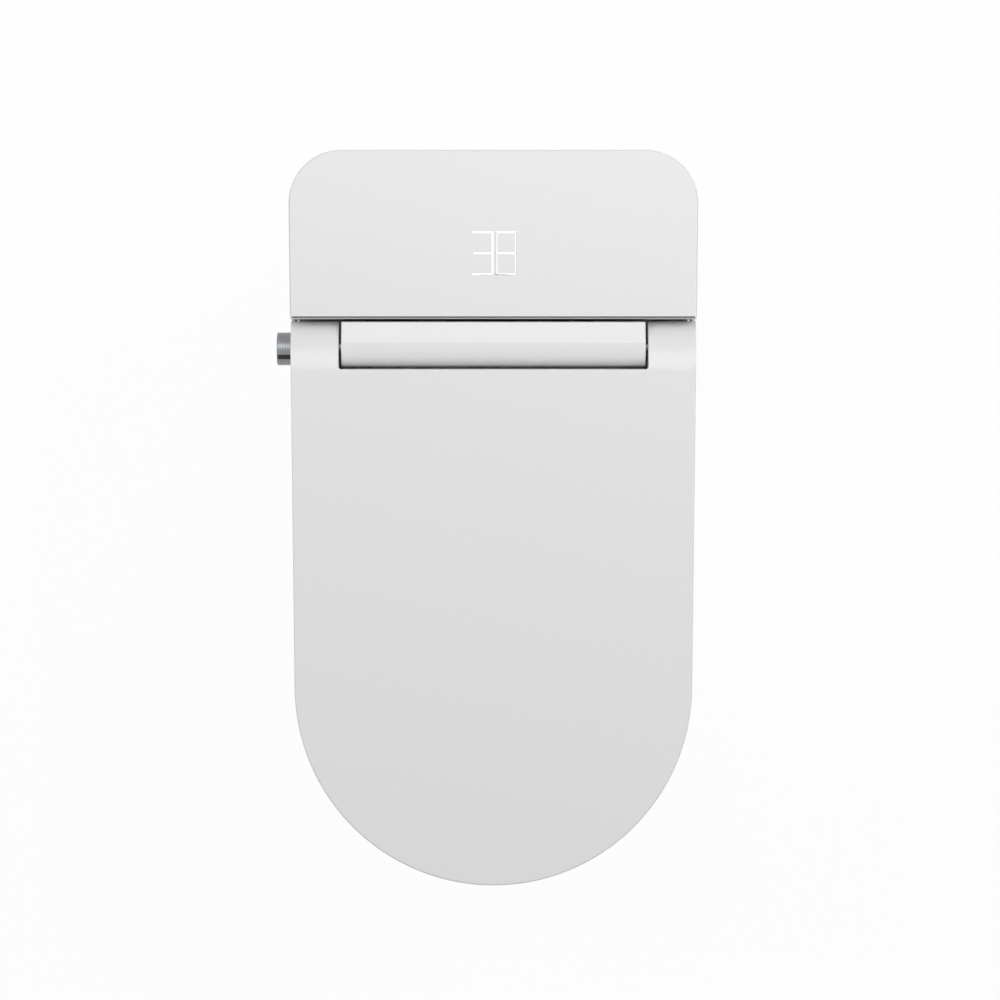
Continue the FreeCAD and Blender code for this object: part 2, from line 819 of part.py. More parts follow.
def figure_strokes(figure, centre_x):
    """Position and size of each lit stroke: (x, y, length along x, length along y)."""
    wide, tall, stroke = val("digit_width"), val("digit_height"), val("digit_stroke")
    y = val("rear_reach") - val("digit_from_rear")
    left, right = centre_x - wide / 2, centre_x + wide / 2
    half = (tall + stroke) / 2
    edge = left - stroke / 2
    flat = [(edge, y + k * tall / 2 - stroke / 2, wide + stroke, stroke) for k in (1, 0, -1)]
    upright = [
        (x - stroke / 2, y0, stroke, half) for y0 in (y - stroke / 2, y - half) for x in (left, right)
    ]
    order = (flat[0], upright[0], upright[1], flat[1], upright[2], upright[3], flat[2])
    return [part for part, lit in zip(order, FIGURES[figure]) if lit]


def lit_figures(z0, z1, grow):
    """Both figures of the seat's temperature as solids between two heights."""
    middle, half = val("digit_offset"), val("digit_pitch") / 2
    bars = []
    for figure, x in (("3", middle - half), ("8", middle + half)):
        for x0, y0, along, deep in figure_strokes(figure, x):
            bars.append(slab(x0 - grow, x0 + along + grow, y0 - grow, y0 + deep + grow, z0, z1))
    return bars


def make_top_cover():
    """The cover behind the lid, with an apron that closes the rear unit behind the hinge."""
    top, low, skin = val("cover_top"), val("cover_bottom"), val("cover_skin")
    front, wall = val("cover_front"), val("housing_wall")
    inset = val("lid_inset")
    outer = casing_block(inset, low, top).common(behind(front))
    lid_round = edges_where(outer, lambda p: abs(p.z - top) < 1e-6)
    outer = outer.makeFillet(val("cover_edge_round"), lid_round)
    hollow = casing_block(inset + wall, low - 1, top - skin).common(behind(front + wall))
    apron_low = val("hinge_z") - 22
    apron = slab(-300, 300, front, front + wall, apron_low, low + 1)
    apron = apron.common(casing_block(wall + 1.2, apron_low - 1, top))
    cover = outer.cut(hollow).fuse(apron)
    return cover.cut(lit_figures(top - val("digit_skin"), top + 1, 0.05))


feature("top_cover", make_top_cover())


def make_figures():
    """The lit figures, flush with the cover."""
    bars = lit_figures(val("cover_top") - val("digit_skin"), val("cover_top"), 0.0)
    return bars[0].fuse(bars[1:]).removeSplitter()


feature("display_segments", make_figures())

# ---------------------------------------------------------------- hinge bar


def make_bar_cover():
    """The fixed bar in the lid's slot: round in front, a crest, and a flat facet behind."""
    y0, y1 = val("bar_front"), val("bar_rear")
    axis_y, axis_z = val("hinge_y"), val("hinge_z")
    crest_y = axis_y + val("bar_crest")
    half = val("bar_half")

    def section(inset, drop, x):
        top = axis_z + val("bar_radius") - inset
        rear_top = axis_z + val("bar_radius") - val("bar_rear_drop") - inset
        front, rear = y0 + inset, y1 - inset
        low = axis_z + val("bar_radius") - val("bar_depth") - drop
        shoulder = Vector(x, front, axis_z)
        crest = Vector(x, crest_y, top)
        bulge = math.sqrt(0.5)
        middle = Vector(x, crest_y - (crest_y - front) * bulge, axis_z + (top - axis_z) * bulge)
        points = [crest, Vector(
            x, rear, rear_top,
        ), Vector(x, rear, low), Vector(x, front, low), shoulder]
        edges = [Part.LineSegment(a, b).toShape() for a, b in zip(points, points[1:])]
        edges.append(Part.Arc(shoulder, middle, crest).toShape())
        return Part.Face(Part.Wire(edges))

    wall = val("bar_wall")
    outer = section(0.0, 0.0, -half).extrude(Vector(2 * half, 0, 0))
    inner = section(wall, 1.0, -half + wall).extrude(Vector(2 * (half - wall), 0, 0))
    shaft_holes = x_cylinder(-half - 1, half + 1, axis_y, axis_z, val("shaft_radius") + 0.4)
    return outer.cut([inner, shaft_holes])


feature("hinge_bar_cover", make_bar_cover())

bar_floor = "hinge_z + bar_radius - bar_depth"
deck_strip = block(
    "frame_strip", "-(bar_half - 4.6)", "bar_front + 5", bar_floor + " + 2.6",
    "2 * (bar_half - 4.6)", "bar_rear - bar_front - 10.8", "3",
)
saddles = []
for side in (-1, 1):
    x = "damper_x + 6" if side > 0 else "-(damper_x + damper_length - 6)"
    saddles.append(
        block(f"saddle_{side}", x, "hinge_y - 8", bar_floor + " + 5.6", "damper_length - 12", "16",
              "bar_depth - bar_radius - 5.6")
    )
legs = [
    block(
        f"frame_leg_{side}", x, "hinge_y - 6", "chassis_top", "10", "12",
        f"{bar_floor} + 2.6 - chassis_top",
    )
    for side, x in ((-1, "-(bar_half - 4.6)"), (1, "bar_half - 14.6"))
]
frame_raw = fuse("frame_raw", deck_strip, *saddles, *legs)
damper_space = rod(
    "damper_space", "-bar_half", "hinge_y", "hinge_z", "damper_radius", "2 * bar_half", "X",
)
piece(cut("frame_cut", frame_raw, damper_space), "hinge_bar_frame")


def damper(name, side):
    """A rotary damper's barrel, with a bore that its shaft turns in."""
    x = "damper_x" if side > 0 else "-(damper_x + damper_length)"
    barrel = rod(name + "_barrel", x, "hinge_y", "hinge_z", "damper_radius", "damper_length", "X")
    bore_x = "damper_x + 4" if side > 0 else "-(damper_x + damper_length + 1)"
    bore = rod(
        name + "_bore", bore_x, "hinge_y", "hinge_z", "shaft_radius + shaft_clearance", "damper_length - 3", "X"
    )
    return cut(name + "_cut", barrel, bore)


piece(group("dampers", damper("lid_damper", 1), damper("seat_damper", -1)), "hinge_dampers")

# ---------------------------------------------------------------- chassis and fixings

chassis = new_body("chassis_plate")
chassis_y = "(housing_front + housing_wall + rear_reach - housing_wall) / 2"
drawn = sketch_on(chassis, "chassis_outline", "XY_Plane", "0", chassis_y, "chassis_bottom")
rectangle(
    drawn, "plate", "rear_width - 2 * (housing_wall + 2.6)",
    "rear_reach - housing_front - 2 * housing_wall - 0.8",
)
plate_pad = pad(chassis, drawn, "chassis_pad", "chassis_thickness")
drawn.Visibility = False
doc.recompute()
rear_corners = [
    f"Edge{n}" for n, edge in enumerate(plate_pad.Shape.Edges, start=1)
    if abs(edge.tangentAt(edge.FirstParameter).z) > 0.9 and edge.CenterOfMass.y > val("hinge_y")
]
rounding = chassis.newObject("PartDesign::Fillet", "chassis_corners")
rounding.Base = (plate_pad, rear_corners)
bind(rounding, Radius="rear_corner_radius - housing_wall")
chassis_holes = [
    ("bolt_front_right", "front_bolt_x", "front_bolt_y", "bolt_hole_radius"),
    ("bolt_front_left", "-front_bolt_x", "front_bolt_y", "bolt_hole_radius"),
    ("bolt_rear_right", "rear_bolt_x", "rear_bolt_y", "bolt_hole_radius"),
    ("bolt_rear_left", "-rear_bolt_x", "rear_bolt_y", "bolt_hole_radius"),
    ("inlet_hole", "-inlet_x", "inlet_y", "inlet_radius + 0.5"),
    ("gland_hole", "inlet_x", "inlet_y", "gland_radius - 2"),
]
for name, x, y, radius in chassis_holes:
    hole = sketch_on(chassis, name, "XY_Plane", x, y, "chassis_top")
    circle(hole, name + "_radius", radius)
    pocket(chassis, hole, name + "_pocket", "chassis_thickness + 1")


def bolt(name, x, y):
    """One bolt with its head on the chassis and its nut under the ceramic deck."""
    nut_low = "deck_height - ceramic_wall - 8"
    shank = rod(
        name + "_shank", x, y, nut_low + " - 4", "bolt_radius", f"chassis_top - ({nut_low} - 4)",
    )
    head = doc.addObject("Part::Prism", name + "_head")
    put(bind(head, Circumradius="bolt_radius * 1.8", Height="bolt_radius * 1.3"), x, y, "chassis_top")
    nut = doc.addObject("Part::Prism", name + "_nut")
    put(bind(nut, Circumradius="bolt_radius * 1.8", Height="7.9"), x, y, nut_low)
    return fuse(name, shank, head, nut)


bolts = [bolt(f"bolt_{n}", x, y) for n, (_, x, y, _) in enumerate(chassis_holes[:4])]
piece(group("bolts", *bolts), "chassis_bolts")

# ---------------------------------------------------------------- side knob


def knob_ring(name, x0, x1, outer, inner):
    """A ring about the knob's axis between two places along it."""
    tube = rod(name + "_tube", x0, "hinge_y", "knob_height", outer, f"({x1}) - ({x0})", "X")
    bore = rod(
        name + "_bore", f"({x0}) - 1", "hinge_y", "knob_height", inner, f"({x1}) - ({x0}) + 2", "X",
    )
    return cut(name, tube, bore)


bezel = knob_ring(
    "bezel_ring", "knob_wall - 1.5", "knob_wall - 0.3", "knob_radius + 0.4 + bezel_width",
    "knob_radius + 0.4",
)
piece(bezel, "knob_bezel")

cap = new_body("knob_cap")
cap_line = sketch_on(cap, "cap_section", "XZ_Plane")
turned_profile(
    cap_line,
    [
        ("0.0001", "0.0001"),
        ("knob_radius - knob_chamfer", "0.0001"),
        ("knob_radius", "knob_chamfer"),
        ("knob_radius", "knob_proud + 3"),
        ("knob_radius - 2.5", "knob_proud + 3"),
        ("knob_radius - 2.5", "4"),
        ("knob_shaft_radius", "4"),
        ("0.0001", "4.0001"),
    ],
)
revolve(cap, cap_line, "cap_turned")
cap.Placement = Placement(Vector(), Rotation(Vector(0, 1, 0), 90))
put(cap, "knob_face", "hinge_y", "knob_height")

shaft = rod(
    "knob_rod", "knob_face + 4.3", "hinge_y", "knob_height", "knob_shaft_radius", "knob_proud + 16",
    "X",
)
piece(shaft, "knob_shaft")
sleeve = knob_ring(
    "carriage_ring", "knob_wall + 5", "knob_wall + 19", "knob_shaft_radius + 3", "knob_shaft_radius + 0.05"
)
piece(sleeve, "knob_carriage")
encoder_case = block(
    "encoder_case", "knob_wall + 9", "hinge_y - 11", "knob_height - 11", "18", "22", "22",
)
encoder_foot = block(
    "encoder_foot", "knob_wall + 12", "hinge_y - 9", "chassis_top", "12", "18",
    "knob_height - 11 - chassis_top",
)
encoder_bore = rod(
    "encoder_bore", "knob_wall + 8", "hinge_y", "knob_height", "knob_shaft_radius + 3.05", "15", "X"
)
piece(cut("encoder_cut", fuse("encoder_raw", encoder_case, encoder_foot), encoder_bore), "knob_encoder")

# ---------------------------------------------------------------- spray unit


def slope(along, up):
    """Rules for the y and z of a point given along the wands from their tips, and up from them."""
    y = f"wand_tip_y + ({along}) * cos(wand_angle) - ({up}) * sin(wand_angle)"
    z = f"wand_tip_z + ({along}) * sin(wand_angle) + ({up}) * cos(wand_angle)"
    return y, z


def sloped_rod(name, x, along, up, radius, length):
    """A cylinder that lies along the wands."""
    made = doc.addObject("Part::Cylinder", name)
    made.Placement = Placement(Vector(), Rotation(Vector(-1, 0, 0), 70))
    y, z = slope(along, up)
    put(bind(made, Radius=radius, Height=length), x, y, z)
    return bind(made, Placement__Rotation__Angle="90 - wand_angle")


def sloped_block(name, x, along, up, wide, length, height):
    """A box that lies along the wands."""
    made = doc.addObject("Part::Box", name)
    made.Placement = Placement(Vector(), Rotation(Vector(1, 0, 0), 20))
    y, z = slope(along, up)
    put(bind(made, Length=wide, Width=length, Height=height), x, y, z)
    return bind(made, Placement__Rotation__Angle="wand_angle")


def slope_point(x, along, up):
    """A point given along and up from the wands' tips, as numbers."""
    angle = math.radians(val("wand_angle"))
    y = val("wand_tip_y") + along * math.cos(angle) - up * math.sin(angle)
    z = val("wand_tip_z") + along * math.sin(angle) + up * math.cos(angle)
    return Vector(x, y, z)


def on_slope(shape, x):
    """Moves a shape drawn along +Y from the origin onto a wand's line."""
    moved = shape.copy()
    moved.Placement = Placement(slope_point(x, 0, 0), Rotation(Vector(1, 0, 0), val("wand_angle")))
    return moved


def make_rack():
    """The toothed strip under a wand, drawn along +Y with its pitch line below the axis."""
    module = val("pinion_module")
    pitch = math.pi * module
    root = -val("rack_pitch_drop") + 1.25 * module
    tip = -val("rack_pitch_drop") - module
    start, half = val("rack_start"), val("rack_width") / 2
    count = int((val("wand_length") - start) / pitch)
    station = val("pinion_station")
    first = station + pitch / 2 - pitch * int((station + pitch / 2 - start - 1) / pitch)
    points = [Vector(-half, start, -val("wand_radius") + 2), Vector(-half, start, root)]
    for k in range(count - 1):
        middle = first + k * pitch
        for offset, level in ((-1.36, root), (-0.5, tip), (0.5, tip), (1.36, root)):
            points.append(Vector(-half, middle + offset * module / 1.25, level))
    end = val("wand_length")
    points += [Vector(-half, end, root), Vector(-half, end, -val("wand_radius") + 2)]
    return Part.Face(Part.makePolygon(points + points[:1])).extrude(Vector(2 * half, 0, 0))


def make_wand(x):
    """A wand's hollow tube with the rack it is driven by."""
    start, radius = val("tip_length"), val("wand_radius")
    length = val("wand_length") - start
    tube = Part.makeCylinder(radius, length, Vector(0, start, 0), Vector(0, 1, 0))
    bore = Part.makeCylinder(radius - 2.2, length - 4, Vector(0, start - 1, 0), Vector(0, 1, 0))
    return on_slope(tube.fuse(make_rack()).cut(bore), x)


def make_wand_tip(x):
    """A wand's closed tip with its row of small jets."""
    start, radius = val("tip_length"), val("wand_radius")
    body = Part.makeCylinder(radius, start - radius - 0.01, Vector(0, radius, 0), Vector(0, 1, 0))
    nose = Part.makeSphere(radius, Vector(0, radius, 0))
    spigot = Part.makeCylinder(radius - 2.25, 5, Vector(0, start - 0.02, 0), Vector(0, 1, 0))
    tip = body.fuse([nose, spigot])
    jets = [Part.makeCylinder(0.6, 4, Vector(k, 9, radius - 3)) for k in (-2, 0, 2)]
    return on_slope(tip.cut(jets), x)


def make_pinion(x, side):
    """A pinion in mesh with a wand's rack, with the shaft that its motor turns."""
    module, teeth = val("pinion_module"), int(val("pinion_teeth"))
    pitch, root = val("pitch_radius"), val("pitch_radius") - 1.2 * module
    outer = pitch + 0.95 * module
    points = []
    for k in range(teeth):
        centre = math.pi / 2 + 2 * math.pi * k / teeth
        for turn, radius in ((-0.19, root), (-0.112, pitch), (-0.05, outer)):
            points.append((centre + turn, radius))
        for turn, radius in ((0.05, outer), (0.112, pitch), (0.19, root)):
            points.append((centre + turn, radius))
    lean = math.radians(val("wand_angle"))
    hub = slope_point(0, val("pinion_station"), -val("pinion_drop"))
    low = x - val("rack_width") / 2

    def at(angle, radius):
        turned = angle + lean
        return Vector(low, hub.y + radius * math.cos(turned), hub.z + radius * math.sin(turned))

    ring = [at(angle, radius) for angle, radius in points]
    gear = Part.Face(Part.makePolygon(ring + ring[:1])).extrude(Vector(val("rack_width"), 0, 0))
    reach = val("rack_width") + 14
    start = low if side > 0 else low + val("rack_width") - reach
    axle = Part.makeCylinder(
        val("pinion_shaft_radius"), reach, Vector(start, hub.y, hub.z), Vector(1, 0, 0),
    )
    return gear.fuse(axle)


half_space = val("wand_spacing") / 2
feature("rear_wand_tube", make_wand(-half_space))
feature("rear_wand_tip", make_wand_tip(-half_space))
feature("front_wand_tube", make_wand(half_space))
feature("front_wand_tip", make_wand_tip(half_space))
feature("rear_pinion", make_pinion(-half_space, -1))
feature("front_pinion", make_pinion(half_space, 1))


def motor(name, side):
    """A wand's gear motor on its foot."""
    y, z = slope("pinion_station", "-pinion_drop")
    inner = "wand_spacing / 2 + wand_radius + 3"
    x = inner if side > 0 else f"-({inner} + motor_length)"
    can = rod(name + "_can", x, y, z, "motor_radius", "motor_length", "X")
    foot_x = f"{inner} + 6" if side > 0 else f"-({inner} + 20)"
    foot = block(
        name + "_foot", foot_x, f"{y} - 9", "chassis_top", "14", "18", f"{z} - 6 - chassis_top",
    )
    bore_x = f"{inner} - 1" if side > 0 else f"-({inner} + 11)"
    bore = rod(name + "_bore", bore_x, y, z, "pinion_shaft_radius + 0.06", "12", "X")
    return cut(name + "_cut", fuse(name + "_raw", can, foot), bore)


piece(group("motors", motor("rear_wand_motor", -1), motor("front_wand_motor", 1)), "wand_motors")

guide = sloped_block(
    "guide", "-(wand_spacing / 2 + wand_radius + 2.5)", "guide_start", "-wand_radius - 2.5",
    "wand_spacing + 2 * wand_radius + 5", "guide_length", "2 * wand_radius + 5",
)
guide_foot = block(
    "guide_foot", "-18", "wand_tip_y + (guide_start + guide_length - 8) * cos(wand_angle)",
    "chassis_top", "36", "10", "wand_tip_z + (guide_start + guide_length - 12) * sin(wand_angle) - chassis_top",
)
guide_cuts = []
for side, x in ((-1, "-wand_spacing / 2"), (1, "wand_spacing / 2")):
    guide_cuts.append(
        sloped_rod(
            f"guide_bore_{side}", x, "guide_start - 5", "0", "wand_radius + slide_clearance",
            "guide_length + 60",
        )
    )
    guide_cuts.append(
        sloped_block(f"guide_slot_{side}", f"{x} - rack_width / 2 - 0.4", "guide_start - 5", "-wand_radius - 6",
                     "rack_width + 0.8", "guide_length + 60", "8")
    )
piece(cut("guide_cut", fuse("guide_raw", guide, guide_foot), *guide_cuts), "spray_housing")

# ---------------------------------------------------------------- water side

valve_box = block("valve_box", "-inlet_x - 14", "inlet_y - 13", "chassis_top", "34", "26", "28")
valve_top = rod("valve_top", "-inlet_x", "inlet_y", "chassis_top + 28", "9", "16")
thread = rod(
    "inlet_thread", "-inlet_x", "inlet_y", "chassis_bottom - inlet_length", "inlet_radius",
    "inlet_length - 0.5",
)
spigot = rod(
    "inlet_neck", "-inlet_x", "inlet_y", "chassis_bottom - inlet_length", "inlet_radius - 1",
    "inlet_length + 10",
)
spigot_bore = rod(
    "spigot_bore", "-inlet_x", "inlet_y", "chassis_bottom - inlet_length - 1", "inlet_radius - 3.5",
    "inlet_length + 20",
)
valve_outlet = rod(
    "valve_outlet", "-inlet_x + 19", "inlet_y", "chassis_top + 14", "hose_radius + 2", "4", "X",
)
piece(
    cut("valve_cut", fuse("valve_raw", valve_box, valve_top, thread, spigot, valve_outlet), spigot_bore),
    "water_inlet_valve",
)

tank_body = new_body("heater_tank")
tank_line = sketch_on(
    tank_body, "tank_outline", "XY_Plane", "tank_x + tank_length / 2",
    "tank_front + tank_width / 2", "chassis_top + 4",
)
rectangle(tank_line, "tank", "tank_length", "tank_width")
tank_pad = pad(tank_body, tank_line, "tank_pad", "tank_height")
doc.recompute()
tank_round = tank_body.newObject("PartDesign::Fillet", "tank_rounds")
tank_round.Base = (tank_pad, [f"Edge{n}" for n in range(1, len(tank_pad.Shape.Edges) + 1)])
bind(tank_round, Radius="tank_round")

inlet_bend = 9.0


def make_inlet_hose():
    """The hose from the inlet valve to the rear of the heater tank."""
    x0 = -val("inlet_x") + 23.2
    x1 = x0 + 22
    y0 = val("inlet_y")
    y1 = val("tank_front") + val("tank_width") + 0.2
    z = val("chassis_top") + 14
    run = [Vector(x0, y0, z), Vector(x1, y0, z), Vector(x1, y1, z)]
    return hose(run, val("hose_radius"), val("hose_radius") - 1.2, inlet_bend)


feature("inlet_hose", make_inlet_hose())


def make_spray_hose():
    """The hose from the heater tank to the side of the spray unit."""
    start_x = val("tank_x") + val("tank_length") + 0.2
    target = slope_point(-half_space - val("wand_radius") - 2.7, val("guide_start") + 40, 0)
    y = val("tank_front") + 18
    run = [Vector(start_x, y, target.z), Vector(target.x - 22, y, target.z)]
    run += [Vector(target.x - 22, target.y, target.z), target]
    return hose(run, val("hose_radius"), val("hose_radius") - 1.2, 9.0)


feature("spray_hose", make_spray_hose())

pump_can = rod(
    "pump_can", "pump_x", "pump_y", "chassis_top + pump_radius + 4", "pump_radius", "pump_length", "X",
)
pump_cap = rod(
    "pump_cap", "pump_x - 5", "pump_y", "chassis_top + pump_radius + 4", "pump_radius - 5",
    "pump_length + 10", "X",
)
pump_feet = [
    block(f"pump_foot_{n}", f"pump_x + {x}", "pump_y - 18", "chassis_top", "8", "36", "16")
    for n, x in enumerate(("8", "pump_length - 16"))
]
riser = rod(
    "pump_riser", "pump_x + pump_length - 18", "pump_y", "chassis_top + pump_radius + 20", "9",
    "flush_hose_height - chassis_top - pump_radius - 10",
)
piece(fuse("pump_raw", pump_can, pump_cap, riser, *pump_feet), "flush_pump")

valve_x = "pump_x + pump_length + 5.3"
flush_body = block(
    "flush_body", valve_x, "pump_y - 12", "flush_hose_height - 12", "valve_length", "24", "24",
)
flush_coil = rod(
    "flush_coil", f"{valve_x} + valve_length / 2", "pump_y", "flush_hose_height + 12", "8", "18",
)
piece(fuse("flush_valve_raw", flush_body, flush_coil), "flush_valve")


def make_flush_hose():
    """The hose from the flush valve over the dryer and down to the jet."""
    x0 = val("pump_x") + val("pump_length") + 5.3 + val("valve_length") + 0.3
    high, low = val("flush_hose_height"), val("jet_height")
    x1 = val("jet_x")
    y0, y1 = val("pump_y"), val("housing_front") - 8
    step = val("housing_front") + val("flush_hose_step")
    run = [Vector(x0, y0, high), Vector(x1, y0, high), Vector(x1, step, high)]
    run += [Vector(x1, step - val("flush_hose_fall"), low), Vector(x1, y1, low)]
    return hose(run, val("flush_hose_radius"), val("flush_hose_radius") - 2, 12.0)


feature("flush_hose", make_flush_hose())
jet_tube = rod(
    "jet_tube", "jet_x", "-bowl_rear - 22", "jet_height", "jet_radius", "step_y + bowl_rear + 14", "Y",
)
jet_bore = rod(
    "jet_bore", "jet_x", "-bowl_rear - 24", "jet_height", "jet_radius - 2.5", "step_y + bowl_rear + 20",
    "Y",
)
piece(cut("jet_cut", jet_tube, jet_bore), "flush_jet")

# ---------------------------------------------------------------- air side


def make_fan(x, y, low, high, radius, blades):
    """A fan wheel on its shaft: a hub, a base disc and upright blades."""
    base = Part.makeCylinder(radius, 1.5, Vector(x, y, low))
    hub = Part.makeCylinder(6, high - low, Vector(x, y, low))
    axle = Part.makeCylinder(val("fan_shaft_radius"), high - low + 6, Vector(x, y, low - 6))
    parts = [hub, axle]
    for k in range(blades):
        blade = slab(radius * 0.55, radius, -0.7, 0.7, low + 0.5, high)
        blade.rotate(Vector(), Vector(0, 0, 1), 360.0 * k / blades)
        blade.translate(Vector(x, y, 0))
        parts.append(blade)
    return base.fuse(parts)


def make_dryer_housing():
    """The dryer's round blower case on its foot, open at its mouth and its intake."""
    x, y, low = val("dryer_x"), val("dryer_y"), val("chassis_top")
    radius, high = val("dryer_radius"), val("chassis_top") + val("dryer_height") + 4
    wall = 2.4
    case = Part.makeCylinder(radius, high - low, Vector(x, y, low))
    room = Part.makeCylinder(radius - wall, high - low - wall - 8, Vector(x, y, low + 8))
    intake = Part.makeCylinder(radius * 0.55, 10, Vector(x, y, high - 5))
    bearing = Part.makeCylinder(val("fan_shaft_radius") + 0.06, 6, Vector(x, y, low + 2.5))
    duct, size = val("duct_x"), val("duct_size")
    spout_x = duct - size / 2
    spout = slab(spout_x, x, y - size / 2, y + size / 2, val("duct_height"), val("duct_height") + size)
    mouth = slab(
        spout_x - 1, x - 8, y - size / 2 + 2, y + size / 2 - 2, low + 8, val("duct_height") + size - 2,
    )
    mouth = mouth.common(slab(spout_x + 2, x, y - 100, y + 100, 0, 500))
    down = slab(
        spout_x + 2, spout_x + size - 2, y - size / 2 - 1, y, val("duct_height") + 2,
        val("duct_height") + size - 2,
    )
    case = case.fuse(spout)
    return case.cut([room, intake, bearing, mouth, down])


feature("dryer_housing", make_dryer_housing())
fan_low = val("chassis_top") + 8 + val("fan_gap")
feature(
    "dryer_fan",
    make_fan(
        val("dryer_x"), val("dryer_y"), fan_low, val("chassis_top") + val("dryer_height") - 2,
        val("dryer_radius") - 2.4 - val("fan_gap"), 14,
    ),
)
duct_y = "housing_front + 0.5"
duct_end = "dryer_y - duct_size / 2 - 0.3"
duct_out = block(
    "duct_out", "duct_x - duct_size / 2", duct_y, "duct_height", "duct_size",
    f"{duct_end} - ({duct_y})", "duct_size",
)
duct_in = block(
    "duct_in", "duct_x - duct_size / 2 + sheet_wall", "housing_front - 1", "duct_height + sheet_wall",
    "duct_size - 2 * sheet_wall", "dryer_y - housing_front", "duct_size - 2 * sheet_wall",
)
piece(cut("duct_cut", duct_out, duct_in), "dryer_duct")

case_y = "housing_front + deodoriser_setback"
filter_case = block(
    "filter_case", "deodoriser_x", case_y, "chassis_top", "deodoriser_length", "deodoriser_width",
    "deodoriser_height",
)
case_end = "(deodoriser_x + deodoriser_length)"
snout_x = f"min(-duct_x - duct_size / 2 - 1; {case_end} - 1)"
snout = block(
    "snout", snout_x, duct_y, "duct_height", f"-duct_x + duct_size / 2 - {snout_x}", "36", "duct_size",
)
fan_x = "deodoriser_x + deodoriser_length / 2"
fan_y = "housing_front + deodoriser_setback + deodoriser_width / 2"
fan_room = rod("fan_room", fan_x, fan_y, "chassis_top + 10", "small_fan_radius + 2", "18")
fan_bore = rod("fan_bore", fan_x, fan_y, "chassis_top + 2", "fan_shaft_radius + 0.06", "12")
exhaust = block("exhaust", "deodoriser_x - 1", f"{fan_y} - 8", "chassis_top + 12", "14", "16", "14")
filter_room = block(
    "filter_room", "deodoriser_x + 4", f"{case_y} + 4", "chassis_top + 27", "deodoriser_length - 8",
    "deodoriser_width - 8", "deodoriser_height",
)
snout_bore = block(
    "snout_bore", "-duct_x - duct_size / 2 + sheet_wall", "housing_front - 1", "duct_height + sheet_wall",
    "duct_size - 2 * sheet_wall", "34", "duct_size - 2 * sheet_wall",
)
port_length = f"max(12; -duct_x - duct_size / 2 + 12 - {case_end})"
side_port = block(
    "side_port", f"{case_end} - 6", f"{case_y} + 6", "duct_height + 3", port_length, "12", "10",
)
piece(
    cut(
        "filter_cut", fuse("filter_raw", filter_case, snout), fan_room, fan_bore, exhaust, filter_room,
        snout_bore, side_port,
    ),
    "deodoriser_housing",
)
filter_block = block(
    "filter_block", "deodoriser_x + 4.5", f"{case_y} + 4.5", "chassis_top + deodoriser_height - 16",
    "deodoriser_length - 9", "deodoriser_width - 9", "15",
)
piece(filter_block, "charcoal_filter")
small_low = val("chassis_top") + 13
feature(
    "deodoriser_fan",
    make_fan(
        val("deodoriser_x") + val("deodoriser_length") / 2,
        val("housing_front") + val("deodoriser_setback") + val("deodoriser_width") / 2,
        small_low, small_low + 12, val("small_fan_radius"), 9,
    ),
)

# ---------------------------------------------------------------- electronics


def board(label, x, y, z, length, width):
    """A circuit board as a padded rectangle."""
    made = new_body(label)
    outline = sketch_on(made, label + "_outline", "XY_Plane", x, y, z)
    rectangle(outline, label + "_edge", length, width)
    pad(made, outline, label + "_pad", "board_thickness")
    return made


display_z = "cover_top - display_board_drop"
board(
    "display_board", "digit_offset", "rear_reach - digit_from_rear", display_z, "display_board_length",
    "display_board_width",
)
lamp_blocks = [
    block(
        f"lamp_block_{n}", x, "rear_reach - digit_from_rear - digit_height / 2 - 1", f"{display_z} + board_thickness",
        "digit_width + 2", "digit_height + 2", "display_board_drop - board_thickness - cover_skin - 0.3",
    )
    for n, x in enumerate(
        (
            "digit_offset - digit_pitch / 2 - digit_width / 2 - 1",
            "digit_offset + digit_pitch / 2 - digit_width / 2 - 1",
        )
    )
]
piece(group("lamps", *lamp_blocks), "display_lamps")

board_y = "dryer_y - 16"
board(
    "control_board", "board_x", board_y, "control_board_height", "control_board_length",
    "control_board_width",
)
chips = [
    ("-30", "-40", "14", "14", "3"), ("4", "-38", "22", "12", "10"), ("-28", "6", "18", "24", "7"),
    ("8", "0", "12", "12", "12"), ("12", "24", "18", "14", "9"),
]
parts_on_board = [
    block(
        f"chip_{n}", f"board_x + {dx}", f"{board_y} + {dy}", "control_board_height + board_thickness",
        length, width, height,
    )
    for n, (dx, dy, length, width, height) in enumerate(chips)
]
piece(group("chips", *parts_on_board), "board_components")
posts = [
    rod(
        f"post_{n}", f"board_x + {dx}", f"{board_y} + {dy}", "chassis_top", "3.2",
        "control_board_height - chassis_top",
    )
    for n, (dx, dy) in enumerate((("34", "-46"), ("35", "44")))
]
piece(group("posts", *posts), "board_posts")
supply = block(
    "supply", "inlet_x - 49", "rear_reach - 31", "chassis_top + 22", "supply_length", "supply_width",
    "supply_height",
)
supply_foot = block("supply_foot", "inlet_x - 40", "rear_reach - 28", "chassis_top", "12", "14", "22")
piece(fuse("supply_raw", supply, supply_foot), "power_supply")
gland = rod(
    "gland_low", "inlet_x", "inlet_y", "chassis_bottom - gland_length", "gland_radius", "gland_length",
)
gland_neck = rod(
    "gland_neck", "inlet_x", "inlet_y", "chassis_bottom - 1", "gland_radius - 2.2",
    "chassis_thickness + 8",
)
gland_nut = rod("gland_nut", "inlet_x", "inlet_y", "chassis_top", "gland_radius + 1", "5")
gland_bore = rod(
    "gland_bore", "inlet_x", "inlet_y", "chassis_bottom - gland_length - 1", "cable_radius",
    "gland_length + 20",
)
piece(cut("gland_cut", fuse("gland_raw", gland, gland_neck, gland_nut), gland_bore), "cable_gland")
lens = block("lens", "28", "housing_front - 1.5", "jet_height + 12", "14", "1.4", "7")
piece(lens, "night_light")

